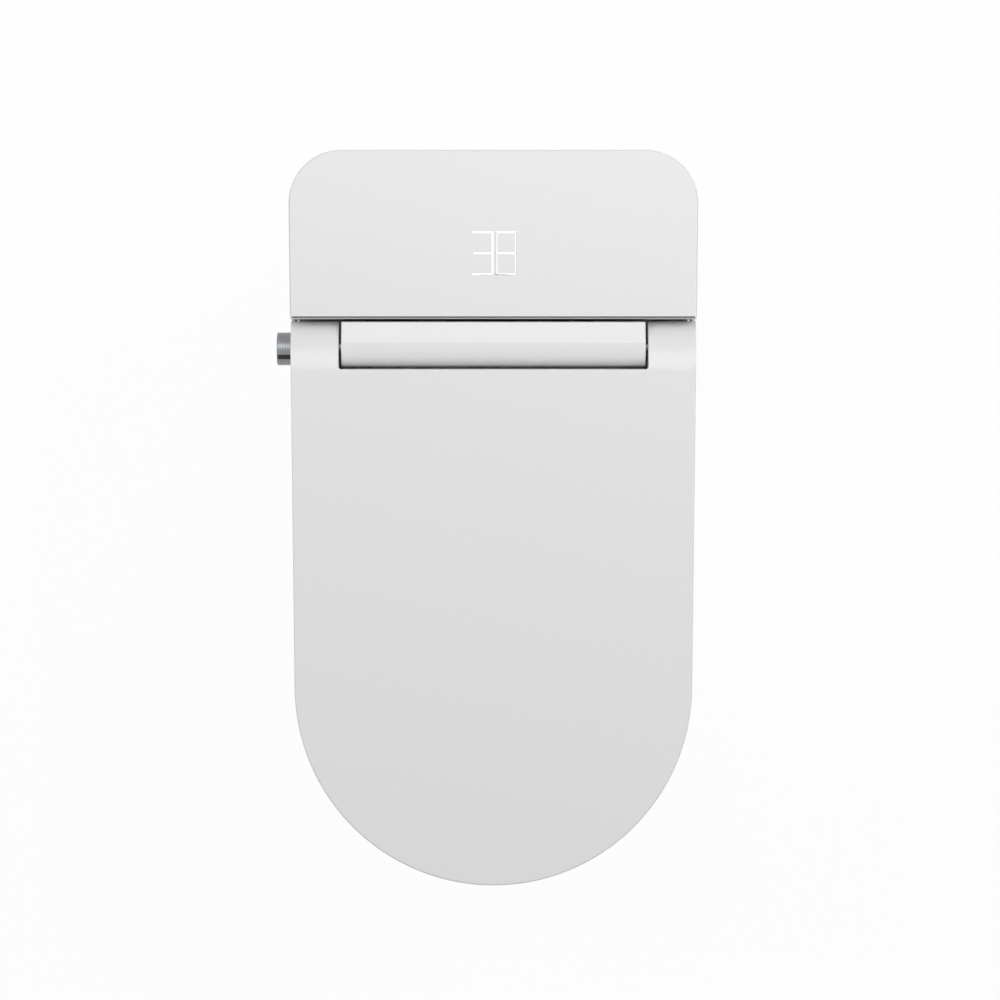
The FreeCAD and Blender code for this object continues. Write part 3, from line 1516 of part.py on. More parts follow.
# ---------------------------------------------------------------- seat


def seat_opening(z, grow):
    """The outline of the seat's opening, made larger by grow."""
    half = val("seat_opening_width") / 2 + grow
    front = val("seat_opening_front") - grow
    return d_outline(z, half - 2, front, half, front + val("seat_opening_length") + 2 * grow, half - 12)


def seat_block(inset, low, high):
    """The seat's ring between two heights, moved in by inset on both edges."""
    ring = casing_block(val("seat_inset") + inset, low, high).common(ahead_of(val("seat_rear") - inset))
    hole = Part.Face(seat_opening(low - 1, inset)).extrude(Vector(0, 0, high - low + 2))
    return ring.cut(hole)


def make_seat_top():
    """The seat's upper shell with its two hinge arms."""
    low, top, wall = val("seat_bottom"), val("seat_top"), val("seat_wall")
    solid = seat_block(0.0, low, top)
    rims = edges_where(solid, lambda p: abs(p.z - top) < 1e-6 and p.y < val("seat_rear") - 1e-3)
    solid = solid.makeFillet(val("seat_edge_round"), rims)
    solid = solid.cut(seat_block(wall, low - 1, top - wall))
    x0, x1 = val("seat_arm_inner"), val("seat_arm_outer")
    axis_y, axis_z, eye = val("hinge_y"), val("hinge_z"), val("ear_radius")
    arm = slab(x0, x1, val("seat_rear") - 1, axis_y, axis_z - eye, top - 1)
    arm = arm.fuse(x_cylinder(x0, x1, axis_y, axis_z, eye))
    bore = x_cylinder(-300, 300, axis_y, axis_z, val("shaft_radius") + 2.0)
    return solid.fuse(both_sides(arm)).cut(bore)


feature("seat_top", make_seat_top())
gap = 0.3
floor_low = val("seat_bottom") + 0.5
feature("seat_bottom", seat_block(val("seat_wall") + gap, floor_low, floor_low + 3))
foil_top = val("seat_top") - val("seat_wall") - 0.05
feature(
    "seat_heating_foil", seat_block(val("seat_wall") + 9, foil_top - val("foil_thickness"), foil_top),
)
front_spot = ("(front_radius - bumper_front_inset)", "front_y + bumper_front_gap")
seat_spots = (("(rear_width / 2 - bumper_side_gap)", "seat_rear - bumper_rear_gap"), front_spot)
bumpers = [
    rod(f"bumper_{n}{side}", side + x, y, "rim_height + 0.3", "bumper_radius", "seat_lift_gap + 0.2")
    for n, (x, y) in enumerate(seat_spots)
    for side in ("", "-")
]
piece(group("bumpers", *bumpers), "seat_bumpers")

# ---------------------------------------------------------------- lid


def lug_section(x0, x1):
    """The lid's rear part between two places across: a convex roll-off down to its rear edge."""
    top, start, rear = val("lid_top"), val("roll_start"), val("lid_rear")
    low = top - val("roll_drop")

    def solid(inset):
        length, drop = rear - start - inset, top - low - inset
        nose = Vector(x0, start, top - inset)
        tail = Vector(x0, rear - inset, low)
        centre = Vector(x0, start, low)
        if length > drop:
            curve = Part.Ellipse(Vector(x0, start + length, low), Vector(x0, start, low + drop), centre)
        else:
            curve = Part.Ellipse(Vector(x0, start, low + drop), Vector(x0, start + length, low), centre)
        arc = Part.ArcOfEllipse(curve, curve.parameter(nose), curve.parameter(tail))
        if arc.value(arc.FirstParameter).distanceToPoint(nose) > 1e-3 or arc.length() > 2 * length:
            arc = Part.ArcOfEllipse(curve, curve.parameter(tail), curve.parameter(nose))
        edges = [arc.toShape()]
        edges.append(Part.LineSegment(tail, centre).toShape())
        edges.append(Part.LineSegment(centre, nose).toShape())
        return Part.Face(Part.Wire(Part.__sortEdges__(edges))).extrude(Vector(x1 - x0, 0, 0))

    return solid


def make_lid_shell():
    """The lid's skin: a flat top, round front, rolled-off rear, slot and hinge ears."""
    low, top, inset = val("lid_bottom"), val("lid_top"), val("lid_inset")
    wall, skin, start = val("lid_wall"), val("lid_skin"), val("roll_start")
    axis_y, axis_z = val("hinge_y"), val("hinge_z")
    floor = top - val("roll_drop")
    flat = casing_block(inset, low, top).common(ahead_of(start))
    room = casing_block(inset + wall, low - 1, top - skin).common(ahead_of(start + 1))
    section = lug_section(-300, 300)
    rear_outer = section(0.0).common(casing_block(inset, floor, top))
    rear_room = section(skin).common(casing_block(inset + wall, floor - 1, top))
    knuckle = x_cylinder(val("ear_inner"), 300, axis_y, axis_z, val("cheek_radius"))
    cheek = both_sides(knuckle).common(casing_block(inset, axis_z - 40, top))
    cheek = cheek.common(behind(val("seat_rear") + 0.6))
    under_roll = rear_outer.fuse([flat, slab(-300, 300, 0, val("lid_rear"), 300, floor)])
    cheek = cheek.common(under_roll)
    web = both_sides(slab(val("ear_inner"), val("ear_outer"), start + 4, axis_y + 12, axis_z, top - 1))
    web = web.common(rear_outer.fuse(flat))
    slot_x, slot_y = val("slot_half"), val("slot_front")
    lining = both_sides(
        slab(slot_x, slot_x + val("slot_wall"), slot_y - 2.5, val("lid_rear"), floor, top)
    )
    front_lining = slab(
        -slot_x - 2.5, slot_x + 2.5, slot_y - 2.5, slot_y, top - val("slot_wall_depth"), top,
    )
    lining = lining.fuse(front_lining).common(rear_outer.fuse(flat))
    solid = flat.fuse(rear_outer)
    solid = solid.cut([room, rear_room])
    solid = solid.fuse([cheek, web, lining])
    solid = solid.cut(slab(-slot_x, slot_x, slot_y, 300, floor - 60, top + 1))
    solid = solid.cut(
        both_sides(slab(0, val("seat_arm_outer") + 0.6, start - 4, axis_y + 14, floor - 60, axis_z - 2))
    )
    bore = x_cylinder(-300, 300, axis_y, axis_z, val("shaft_radius") + 2.0)
    inside = casing_block(inset + wall, axis_z - 60, top)
    return solid.cut(bore.common(inside)).removeSplitter()


feature("lid_shell", make_lid_shell())
liner_low = val("lid_bottom") + val("liner_recess")
liner = casing_block(
    val("lid_inset") + val("lid_wall") + gap, liner_low, liner_low + val("liner_thickness"),
)
feature("lid_liner", liner.common(ahead_of(val("roll_start") - 6)))
lid_spots = (("(rear_width / 2 - lid_bumper_side_gap)", "seat_rear - lid_bumper_rear_gap"), front_spot)
lid_pad_height = "lid_gap + liner_recess - 0.35"
lid_bumpers = [
    rod(f"lid_bumper_{n}{side}", side + x, y, "seat_top + 0.3", "bumper_radius - 2", lid_pad_height)
    for n, (x, y) in enumerate(lid_spots)
    for side in ("", "-")
]
piece(group("lid_pads", *lid_bumpers), "lid_bumpers")


def hinge_bush(name, x, width, bore):
    """A ring in a hinge eye."""
    ring = rod(name + "_ring", x, "hinge_y", "hinge_z", "shaft_radius + 1.95", width, "X")
    hole = rod(name + "_hole", f"{x} - 1", "hinge_y", "hinge_z", bore, f"{width} + 2", "X")
    return cut(name, ring, hole)


def hinge_shaft(name, side, reach):
    """A damper's shaft, from inside its barrel out through the hinge eyes."""
    length = f"{reach} - damper_x - 4.5"
    x = "damper_x + 4.5" if side > 0 else f"-({reach})"
    return rod(name, x, "hinge_y", "hinge_z", "shaft_radius", length, "X")


running = "shaft_radius + shaft_clearance"
fixed = "shaft_radius + 0.01"
seat_eyes = [
    hinge_bush("seat_eye_right", "seat_arm_inner", "seat_arm_width", running),
    hinge_bush("seat_eye_left", "-seat_arm_outer", "seat_arm_width", fixed),
]
piece(group("seat_eyes", *seat_eyes), "seat_bushes")
lid_eyes = [
    hinge_bush("lid_eye_right", "ear_inner", "ear_width", fixed),
    hinge_bush("lid_eye_left", "-ear_outer", "ear_width", running),
]
piece(group("lid_eyes", *lid_eyes), "lid_bushes")
piece(hinge_shaft("lid_shaft", 1, "ear_outer"), "lid_damper_shaft")
piece(hinge_shaft("seat_shaft", -1, "ear_outer"), "seat_damper_shaft")

# ---------------------------------------------------------------- checks and files

doc.recompute()
for obj in doc.Objects:
    if "Invalid" in obj.State or "Error" in obj.State:
        raise RuntimeError(f"{obj.Name} is {obj.State}")
os.makedirs("parts", exist_ok=True)
for made in PIECES:
    if made.Shape.isNull() or not made.Shape.isValid() or not made.Shape.Solids:
        raise RuntimeError(f"{made.Label} has no valid solid")
    made.Shape.exportStep(f"parts/{made.Label}.step")
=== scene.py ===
"""Looks of a floor-standing smart toilet with a heated seat.

Lengths in the classes are in millimetres, in the same frame as the solids: +Z up, +Y to the
rear, -X towards the side knob, origin on the floor at the axis of the waste outlet.
"""

import json
import logging
import math
from dataclasses import dataclass, field
from enum import Enum
from typing import Any, ClassVar, Iterable, Sequence

import bmesh
import bpy
from mathutils import Matrix, Vector

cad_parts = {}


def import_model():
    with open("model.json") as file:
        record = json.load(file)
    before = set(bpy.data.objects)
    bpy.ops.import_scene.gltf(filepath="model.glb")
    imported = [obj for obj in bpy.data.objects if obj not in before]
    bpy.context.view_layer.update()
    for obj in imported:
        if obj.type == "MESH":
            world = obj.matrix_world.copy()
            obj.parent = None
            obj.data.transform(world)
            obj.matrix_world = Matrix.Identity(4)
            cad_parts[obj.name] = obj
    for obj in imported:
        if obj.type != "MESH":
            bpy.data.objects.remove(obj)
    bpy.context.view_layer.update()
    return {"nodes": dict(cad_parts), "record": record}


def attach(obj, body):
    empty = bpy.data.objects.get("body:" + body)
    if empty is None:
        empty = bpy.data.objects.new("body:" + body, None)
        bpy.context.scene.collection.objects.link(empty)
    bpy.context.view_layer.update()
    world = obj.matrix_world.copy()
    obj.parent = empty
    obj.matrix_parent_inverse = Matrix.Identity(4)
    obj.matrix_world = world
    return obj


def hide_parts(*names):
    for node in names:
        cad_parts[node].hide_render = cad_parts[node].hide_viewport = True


LOG = logging.getLogger("smart_toilet")
MM = 0.001
EVEN = 1e-6  # Heights closer than this count as one.
FAR = 600.0  # Past every piece, for the open ends of cutting tools.
ROUND = 128  # Points round the knob and the hinge cheeks.
SIDES = (-1, 1)
WHITE = (1.0, 1.0, 1.0, 1.0)
Piece = bpy.types.Object
Loop = list[Vector]
Outline = list[tuple[float, float]]
Curve = Sequence[tuple[float, float]]


# ---- mesh building


def polar(angle: float, radius: float) -> Vector:
    """Returns a point in plan at an angle and a distance from the origin."""
    return radius * Vector((math.cos(angle), math.sin(angle), 0.0))


def quarter(steps: int) -> Outline:
    """Returns the cosine and sine at even steps over a quarter turn."""
    turns = [math.pi / 2 * k / steps for k in range(steps + 1)]
    return [(math.cos(t), math.sin(t)) for t in turns]


def mirrored(points: Sequence[Vector]) -> Loop:
    """Returns plan points of the right side for the left, in reverse order."""
    return [Vector((-p.x, p.y, 0.0)) for p in reversed(points)]


def d_loop(nose: float, front: float, half: float, rear: float, corner: float) -> Loop:
    """Draws a D in plan: round front, tangent sides, straight rear with round corners.

    Args:
        nose: Radius of the front.
        front: Y of the foremost point.
        half: Half width at the rear corners.
        rear: Y of the rear edge.
        corner: Radius of the rear corners.

    Returns:
        168 points, anticlockwise from the middle of the rear edge, at z 0.
    """
    rear_steps, corner_steps, side_steps, nose_steps = 8, 16, 20, 40
    nose_centre = Vector((0.0, front + nose, 0.0))
    corner_centre = Vector((half - corner, rear - corner, 0.0))
    reach = corner_centre - nose_centre
    lean = math.atan2(reach.y, reach.x) - math.acos((nose - corner) / reach.length)
    square = math.pi / 2
    right: Loop = [Vector((corner_centre.x * k / rear_steps, rear, 0.0)) for k in range(rear_steps)]
    for step in range(corner_steps + 1):
        right.append(corner_centre + polar(square + (lean - square) * step / corner_steps, corner))
    side_rear, side_front = right[-1], nose_centre + polar(lean, nose)
    right += [side_rear.lerp(side_front, k / side_steps) for k in range(1, side_steps)]
    for step in range(nose_steps + 1):
        right.append(nose_centre + polar(lean - (square + lean) * step / nose_steps, nose))
    loop = right + mirrored(right[1:-1])
    return loop[:1] + loop[:0:-1]


def mix(start: float, end: float, share: float) -> float:
    """Returns the value at a share of the way from start to end."""
    return start + (end - start) * share


def inset(loop: Sequence[Vector], distance: float) -> Loop:
    """Moves a closed loop inwards by a distance, with mitred corners.

    Args:
        loop: Points in plan, anticlockwise.
        distance: How far in; negative moves outwards.

    Returns:
        The moved points, as many as before.
    """
    sharpest = 0.3
    moved: Loop = []
    for index, point in enumerate(loop):
        into = (point - loop[index - 1]).normalized()
        away = (loop[(index + 1) % len(loop)] - point).normalized()
        first, second = Vector((-into.y, into.x, 0)), Vector((-away.y, away.x, 0))
        mid = (first + second).normalized()
        moved.append(point + mid * distance / max(sharpest, mid.dot(first)))
    return moved


def at_height(loop: Sequence[Vector], height: float) -> Loop:
    """Returns the loop at a height."""
    return [Vector((p.x, p.y, height)) for p in loop]


def linked(name: str, data: bpy.types.ID) -> Piece:
    """Puts a mesh, a lamp or a camera into the scene as an object."""
    made = bpy.data.objects.new(name, data)
    bpy.context.scene.collection.objects.link(made)
    return made


def mesh_object(name: str, points: Iterable[Vector], faces: Sequence[Sequence[int]]) -> Piece:
    """Makes a mesh object from points in millimetres.

    Args:
        name: Name of the piece.
        points: Corners.
        faces: Corner numbers of each face.

    Returns:
        The object, linked to the scene, with its faces turned outwards.
    """
    mesh = bpy.data.meshes.new(name)
    mesh.from_pydata([tuple(p * MM) for p in points], [], [tuple(f) for f in faces])
    work = bmesh.new()
    work.from_mesh(mesh)
    bmesh.ops.recalc_face_normals(work, faces=work.faces)
    work.to_mesh(mesh)
    work.free()
    return linked(name, mesh)


def ring_solid(name: str, rings: Sequence[Sequence[Vector]], joined: bool = False) -> Piece:
    """Skins a row of rings that have the same number of points.

    Args:
        name: Name of the piece.
        rings: The rings in order.
        joined: True if the last ring meets the first, as round a seat.

    Returns:
        The object, capped at both ends unless joined.
    """
    count = len(rings[0])
    points = [p for ring in rings for p in ring]
    faces: list[Sequence[int]] = []
    last = len(rings) if joined else len(rings) - 1
    for level in range(last):
        low, high = level * count, ((level + 1) % len(rings)) * count
        for index in range(count):
            after = (index + 1) % count
            faces.append((low + index, low + after, high + after, high + index))
    if not joined:
        faces.append(list(range(count))[::-1])
        faces.append([(len(rings) - 1) * count + index for index in range(count)])
    return mesh_object(name, points, faces)


def prism(name: str, loop: Sequence[Vector], low: float, high: float) -> Piece:
    """Raises a plan outline between two heights."""
    return ring_solid(name, [at_height(loop, low), at_height(loop, high)])


def bar_along_x(name: str, section: Curve, x0: float = -FAR, x1: float = FAR) -> Piece:
    """Runs a (y, z) section from x0 to x1."""
    return ring_solid(name, [[Vector((x, y, z)) for y, z in section] for x in (x0, x1)])


def box(name: str, low: Sequence[float], high: Sequence[float]) -> Piece:
    """Makes a box between two corners, as a cutting tool."""
    section = [(low[1], low[2]), (high[1], low[2]), (high[1], high[2]), (low[1], high[2])]
    return bar_along_x(name, section, low[0], high[0])


def circle_section(y: float, z: float, radius: float, count: int = 48) -> Outline:
    """Returns points round a circle in the (y, z) plane."""
    turns = [2 * math.pi * k / count for k in range(count)]
    return [(y + radius * math.cos(t), z + radius * math.sin(t)) for t in turns]


def rod(name: str, y: float, z: float, radius: float, ends: Sequence[float], count: int = 48) -> Piece:
    """Makes a round bar along X between two ends."""
    return bar_along_x(name, circle_section(y, z, radius, count), *ends)


def on_side(side: int, inner: float, outer: float) -> list[float]:
    """Returns the lower and upper x of a piece on one side of the object."""
    return sorted((side * inner, side * outer))


def baked(piece: Piece) -> Piece:
    """Applies the piece's modifiers to its mesh."""
    graph = bpy.context.evaluated_depsgraph_get()
    solid = bpy.data.meshes.new_from_object(piece.evaluated_get(graph), depsgraph=graph)
    old = piece.data
    piece.modifiers.clear()
    piece.data = solid
    bpy.data.meshes.remove(old)
    return piece


class Join(Enum):
    """How a tool changes a piece."""

    CUT = "DIFFERENCE"
    KEEP = "INTERSECT"
    ADD = "UNION"


def shape_with(piece: Piece, how: Join, *tools: Piece) -> Piece:
    """Cuts, trims or joins a piece with tools, which are used up.

    Args:
        piece: The piece to change.
        how: What the tools do.
        tools: Closed meshes.

    Returns:
        The piece.
    """
    for tool in tools:
        step = piece.modifiers.new("shape", "BOOLEAN")
        step.operation = how.value
        step.solver = "EXACT"
        step.object = tool
        baked(piece)
        mesh = tool.data
        bpy.data.objects.remove(tool)
        bpy.data.meshes.remove(mesh)
    return piece


def bevel(piece: Piece, radius: float, segments: int, angle: float) -> Piece:
    """Adds a modifier that rounds every edge that turns by more than an angle in degrees."""
    edge = piece.modifiers.new("broken_edges", "BEVEL")
    edge.width = radius * MM
    edge.segments = segments
    edge.limit_method = "ANGLE"
    edge.angle_limit = math.radians(angle)
    return piece


def soften(piece: Piece, angle: float) -> Piece:
    """Smooths a piece's shading, apart from edges that turn by more than an angle in degrees."""
    piece.data.shade_smooth()
    work = bmesh.new()
    work.from_mesh(piece.data)
    for edge in work.edges:
        if len(edge.link_faces) == 2 and edge.calc_face_angle(0.0) > math.radians(angle):
            edge.smooth = False
    work.to_mesh(piece.data)
    work.free()
    flatten = piece.modifiers.new("even_shading", "WEIGHTED_NORMAL")
    flatten.keep_sharp = True
    flatten.weight = 90
    return piece


def turned(name: str, profile: Curve, centre: Sequence[float], joined: bool = False) -> Piece:
    """Turns a (distance along +X, radius) profile about an axis along X.

    Args:
        name: Name of the piece.
        profile: Points from the outer face inwards.
        centre: Where distance 0 of the axis lies.
        joined: True for a closed profile, as of a collar.

    Returns:
        The turned piece, smooth up to its edges.
    """
    rings = []
    for along, radius in profile:
        section = circle_section(centre[1], centre[2], radius, ROUND)
        rings.append([Vector((centre[0] + along, y, z)) for y, z in section])
    return soften(ring_solid(name, rings, joined), 40.0)


def arc(centre: tuple[float, float], radius: float, start: float, end: float, steps: int) -> Outline:
    """Returns points on an arc between two angles in degrees."""
    turns = [math.radians(start + (end - start) * k / steps) for k in range(steps + 1)]
    return [(centre[0] + radius * math.cos(t), centre[1] + radius * math.sin(t)) for t in turns]


def spread(stops: Curve, at: float) -> float:
    """Reads a smooth curve through stops, with flat ends.

    Args:
        stops: (place, value) in rising order of place.
        at: Where to read it.

    Returns:
        The value there.
    """
    for (x0, y0), (x1, y1) in zip(stops, stops[1:]):
        if at <= x1:
            before = [p for p in stops if p[0] < x0]
            after = [p for p in stops if p[0] > x1]
            slope0 = (y1 - before[-1][1]) / (x1 - before[-1][0]) if before else 0.0
            slope1 = (after[0][1] - y0) / (after[0][0] - x0) if after else 0.0
            span, t = x1 - x0, (at - x0) / (x1 - x0)
            a = (2 * t**3 - 3 * t**2 + 1) * y0 + (t**3 - 2 * t**2 + t) * span * slope0
            return a + (-2 * t**3 + 3 * t**2) * y1 + (t**3 - t**2) * span * slope1
    return stops[-1][1]


# ---- finishes


def linear(code: str) -> tuple[float, float, float, float]:
    """Turns an sRGB hex colour into linear values with full alpha."""
    parts = [int(code[i : i + 2], 16) / 255 for i in (1, 3, 5)]
    red, green, blue = (v / 12.92 if v <= 0.04045 else ((v + 0.055) / 1.055) ** 2.4 for v in parts)
    return (red, green, blue, 1.0)


def blank_tree(owner: bpy.types.Material | bpy.types.World) -> bpy.types.NodeTree:
    """Turns a material's or a world's nodes on and clears them."""
    owner.use_nodes = True
    owner.node_tree.nodes.clear()
    return owner.node_tree


def add_node(
    tree: bpy.types.NodeTree, kind: str, links: dict[Any, Any] | None = None, **settings: Any
) -> bpy.types.Node:
    """Adds a node.

    Args:
        tree: The node tree.
        kind: The node's type, without its ShaderNode prefix.
        links: Input name or number to a socket, which is linked, or to a value.
        settings: Properties of the node itself.

    Returns:
        The node.
    """
    node = tree.nodes.new("ShaderNode" + kind)
    for key, value in settings.items():
        setattr(node, key, value)
    for key, value in (links or {}).items():
        if isinstance(value, bpy.types.NodeSocket):
            tree.links.new(value, node.inputs[key])
        else:
            node.inputs[key].default_value = value
    return node


CLOUDS = {"Detail": 4.0, "Roughness": 0.55}
TRACKS = {"Mortar Size": 0.03, "Color1": (0, 0, 0, 1), "Color2": (0.25, 0.25, 0.25, 1), "Mortar": WHITE}


class Surface(Enum):
    """How a surface was made: its name, and the texture of its fine pattern with its settings."""

    MOULDED = ("moulded", "TexNoise", CLOUDS)
    GLAZED = ("glazed", "TexNoise", CLOUDS)
    BRUSHED = ("brushed", "TexNoise", CLOUDS)
    TURNED = ("turned", "TexWave", {"Distortion": 1.5, "Detail": 2.0})
    RIBBED = ("ribbed", "TexWave", {"Distortion": 0.2})
    FOAM = ("foam", "TexVoronoi", {})
    CREASED = ("creased", "TexVoronoi", {})
    BOARD = ("board", "TexBrick", TRACKS)


@dataclass(frozen=True)
class Finish:
    """What a material is and what the eye gets from it."""

    name: str
    colour: str
    shade: str
    surface: Surface
    grain_mm: float
    roughness: float
    relief_mm: float = 0.02
    rough_spread: float = 0.04
    metallic: float = 0.0
    ior: float = 1.5
    glow: float = 0.0

    def pattern(self, tree: bpy.types.NodeTree) -> bpy.types.NodeSocket:
        """Adds the nodes of the fine pattern.

        Args:
            tree: The material's tree.

        Returns:
            A value from 0 to 1 over the surface.
        """
        _, kind, settings = self.surface.value
        place = add_node(tree, "TexCoord").outputs["Object"]
        if self.surface is Surface.BRUSHED:
            drawn = add_node(tree, "Mapping", {"Vector": place, "Scale": (1.0, 14.0, 14.0)})
            place = drawn.outputs["Vector"]
        per_metre = 1000.0 / self.grain_mm / (2 * math.pi if kind == "TexWave" else 1.0)
        texture = add_node(tree, kind, {"Vector": place, "Scale": per_metre, **settings})
        return texture.outputs["Distance" if kind == "TexVoronoi" else "Fac"]

    def material(self) -> bpy.types.Material:
        """Builds the material once and returns it."""
        made = bpy.data.materials.get(self.name)
        if made is not None:
            return made
        made = bpy.data.materials.new(self.name)
        tree = blank_tree(made)
        value = self.pattern(tree)
        colours = {"Factor": value, 6: linear(self.colour), 7: linear(self.shade)}
        tint = add_node(tree, "Mix", colours, data_type="RGBA")
        low, high = self.roughness - self.rough_spread, self.roughness + self.rough_spread
        rough = add_node(tree, "MapRange", {"Value": value, "To Min": low, "To Max": high})
        relief = {"Height": value, "Strength": 1.0, "Distance": self.relief_mm * MM}
        bump = add_node(tree, "Bump", relief)
        looks = {
            "Base Color": tint.outputs[2],
            "Roughness": rough.outputs["Result"],
            "Normal": bump.outputs["Normal"],
            "Metallic": self.metallic,
            "IOR": self.ior,
            "Emission Color": linear(self.colour),
            "Emission Strength": self.glow,
        }
        shader = add_node(tree, "BsdfPrincipled", looks)
        add_node(tree, "OutputMaterial", {"Surface": shader.outputs["BSDF"]})
        return made


# Vitreous china under a fired clear glaze: deep gloss with a slow waviness in its reflections.
GLAZED_CHINA = Finish(
    "glazed_vitreous_china", "#F0F0EE", "#EDEDEA", Surface.GLAZED, 38.0, 0.07, 0.05, 0.03, ior=1.52
)
# ABS moulded in a polished tool: even white, sharp highlights, the faintest orange peel.
POLISHED_ABS = Finish(
    "polished_white_abs", "#E4E4E4", "#E2E2E2", Surface.MOULDED, 7.0, 0.22, 0.004, 0.03, ior=1.53
)
# The same white plastic for the rear unit's wall, from a tool with a slightly duller polish.
SATIN_ABS = Finish(
    "satin_white_abs", "#E2E2E2", "#DFDFDF", Surface.MOULDED, 3.0, 0.32, 0.006, 0.05, ior=1.53
)
# Polypropylene seat with a warm white and a soft shine, kind to skin.
SEAT_PP = Finish(
    "white_polypropylene", "#ECECEA", "#E9E9E6", Surface.MOULDED, 6.0, 0.28, 0.002, 0.03, ior=1.49
)
# Chrome plating over turned brass: mirror-like, with very fine turning lines; its base colour is
# darkened as painted reflection of dark surroundings.
PAINTED_DARK_CHROME = Finish(
    "chrome_plated_brass", "#8E9092", "#848689", Surface.TURNED, 1.2, 0.34, 0.002, 0.04, metallic=1.0
)
# Zinc-plated steel sheet and bolts: grey with a drawn grain.
ZINC_STEEL = Finish(
    "zinc_plated_steel", "#A9ACB0", "#8F9297", Surface.BRUSHED, 1.5, 0.36, 0.01, 0.08, metallic=1.0
)
# Black glass-filled nylon: dull, slightly mottled. On the knob it also paints a dark reflection as a
# black strip.
BLACK_NYLON_AND_PAINTED_REFLECTION = Finish("black_nylon", "#232426", "#1B1C1E", Surface.MOULDED, 1.6, 0.55, 0.02, 0.08)
# White acetal for bushes and gears: waxy and even.
ACETAL = Finish("white_acetal", "#E2DFD4", "#D9D6CA", Surface.MOULDED, 2.5, 0.4, 0.01, 0.05, ior=1.48)
# Soft thermoplastic rubber: matt, with a fine tooth.
SOFT_RUBBER = Finish("soft_tpe_rubber", "#DCDCDA", "#D2D2CF", Surface.MOULDED, 0.9, 0.75, 0.02, 0.06)
# Rubber hose with a wrapped finish: dark rings a few millimetres apart.
HOSE_RUBBER = Finish("wrapped_epdm_hose", "#3A3B3D", "#2C2D2F", Surface.RIBBED, 3.0, 0.68, 0.08, 0.06)
# Cast and machined brass for the inlet valve.
BRASS = Finish(
    "machined_brass", "#B89A58", "#A3874A", Surface.BRUSHED, 1.2, 0.3, 0.008, 0.07, metallic=1.0
)
# Natural polypropylene of the heater tank, milky and slightly dull.
NATURAL_PP = Finish(
    "natural_polypropylene", "#D9D8D0", "#CFCEC5", Surface.MOULDED, 6.0, 0.45, 0.02, 0.05, ior=1.49
)
# Open-cell foam loaded with charcoal; cells drawn at 2 mm.
CHARCOAL_FOAM = Finish("charcoal_foam", "#2A2A2A", "#0C0C0C", Surface.FOAM, 2.0, 0.95, 0.6, 0.03)
# Glass-epoxy board under green solder resist, with copper tracks every few millimetres.
SOLDER_RESIST = Finish(
    "green_solder_resist", "#1F5C3A", "#3F8A5E", Surface.BOARD, 5.0, 0.35, 0.03, 0.05
)
# Moulded epoxy packages of chips and relays.
EPOXY_BLACK = Finish("moulded_epoxy", "#1D1D1F", "#272729", Surface.MOULDED, 0.8, 0.6, 0.01, 0.05)
# Powder coat on the power supply's steel case.
POWDER_COAT = Finish("grey_powder_coat", "#5A5D61", "#4E5155", Surface.MOULDED, 1.2, 0.5, 0.03, 0.08)
# Aluminium heating foil, lightly creased where it was laid by hand.
HEATING_FOIL = Finish(
    "aluminium_foil", "#C9CACB", "#AEB0B2", Surface.CREASED, 14.0, 0.3, 0.15, 0.06, metallic=1.0
)
# Acrylic light guide, opal white.
OPAL_ACRYLIC = Finish(
    "opal_acrylic", "#F4F4F2", "#EFEFEC", Surface.MOULDED, 4.0, 0.35, 0.005, 0.04, ior=1.49
)
# The lit strokes of the display: opal acrylic with light behind it, brighter than the cover.
LIT_ACRYLIC = Finish(
    "lit_opal_acrylic", "#FFFFFF", "#FBFBFB", Surface.MOULDED, 4.0, 0.4, 0.002, 0.02, ior=1.49, glow=0.2
)


# ---- the object's shared outline


@dataclass(frozen=True)
class Casing:
    """Plan outline that the lid, the seat, the cover and the rear unit share."""

    front: float = -405.0
    nose: float = 186.7
    half: float = 192.2
    rear: float = 285.0
    corner: float = 49.6

    def loop(self, distance: float) -> Loop:
        """Returns the outline moved in by a distance."""
        moved = (side - distance for side in (self.half, self.rear, self.corner))
        return d_loop(self.nose - distance, self.front + distance, *moved)

    def half_width(self, y: float, distance: float) -> float:
        """Returns half the outline's width at a place along the object."""
        loop = self.loop(distance)
        for a, b in zip(loop, loop[1:] + loop[:1]):
            crosses = min(a.y, b.y) <= y <= max(a.y, b.y) and abs(a.y - b.y) > EVEN
            if crosses and a.x >= 0 and b.x >= 0:
                return a.x + (b.x - a.x) * (y - a.y) / (b.y - a.y)
        return self.half - distance

    def behind(self, y: float, distance: float, corner: float = 2.0) -> Loop:
        """Draws the part of the outline behind a line across the object.

        Args:
            y: Where the line lies.
            distance: How far the outline is moved in.
            corner: Radius of the two new corners.

        Returns:
            An anticlockwise loop that starts at the middle of the front line.
        """
        side, rear = self.half_width(y + corner, distance), self.rear - distance
        right = [p for p in self.loop(distance) if p.y > y + corner + 1.0 and p.x > 0.5]
        turn = sorted((p for p in right if p.y < rear - EVEN), key=lambda p: (p.y, -p.x))
        flat = sorted((p for p in right if p.y >= rear - EVEN), key=lambda p: -p.x)
        half_loop = [Vector((side * k / 12, y, 0.0)) for k in range(12)]
        for up, out in quarter(6):
            half_loop.append(Vector((side - corner + corner * out, y + corner - corner * up, 0.0)))
        half_loop += turn + flat
        return half_loop + [Vector((0.0, rear, 0.0))] + mirrored(half_loop[1:])


CASING = Casing()


@dataclass(frozen=True)
class HingeLine:
    """The axis that the lid, the seat and the bar share, and the bore of their eyes."""

    y: float = 100.6
    z: float = 426.0
    bore: float = 7.0


HINGE = HingeLine()


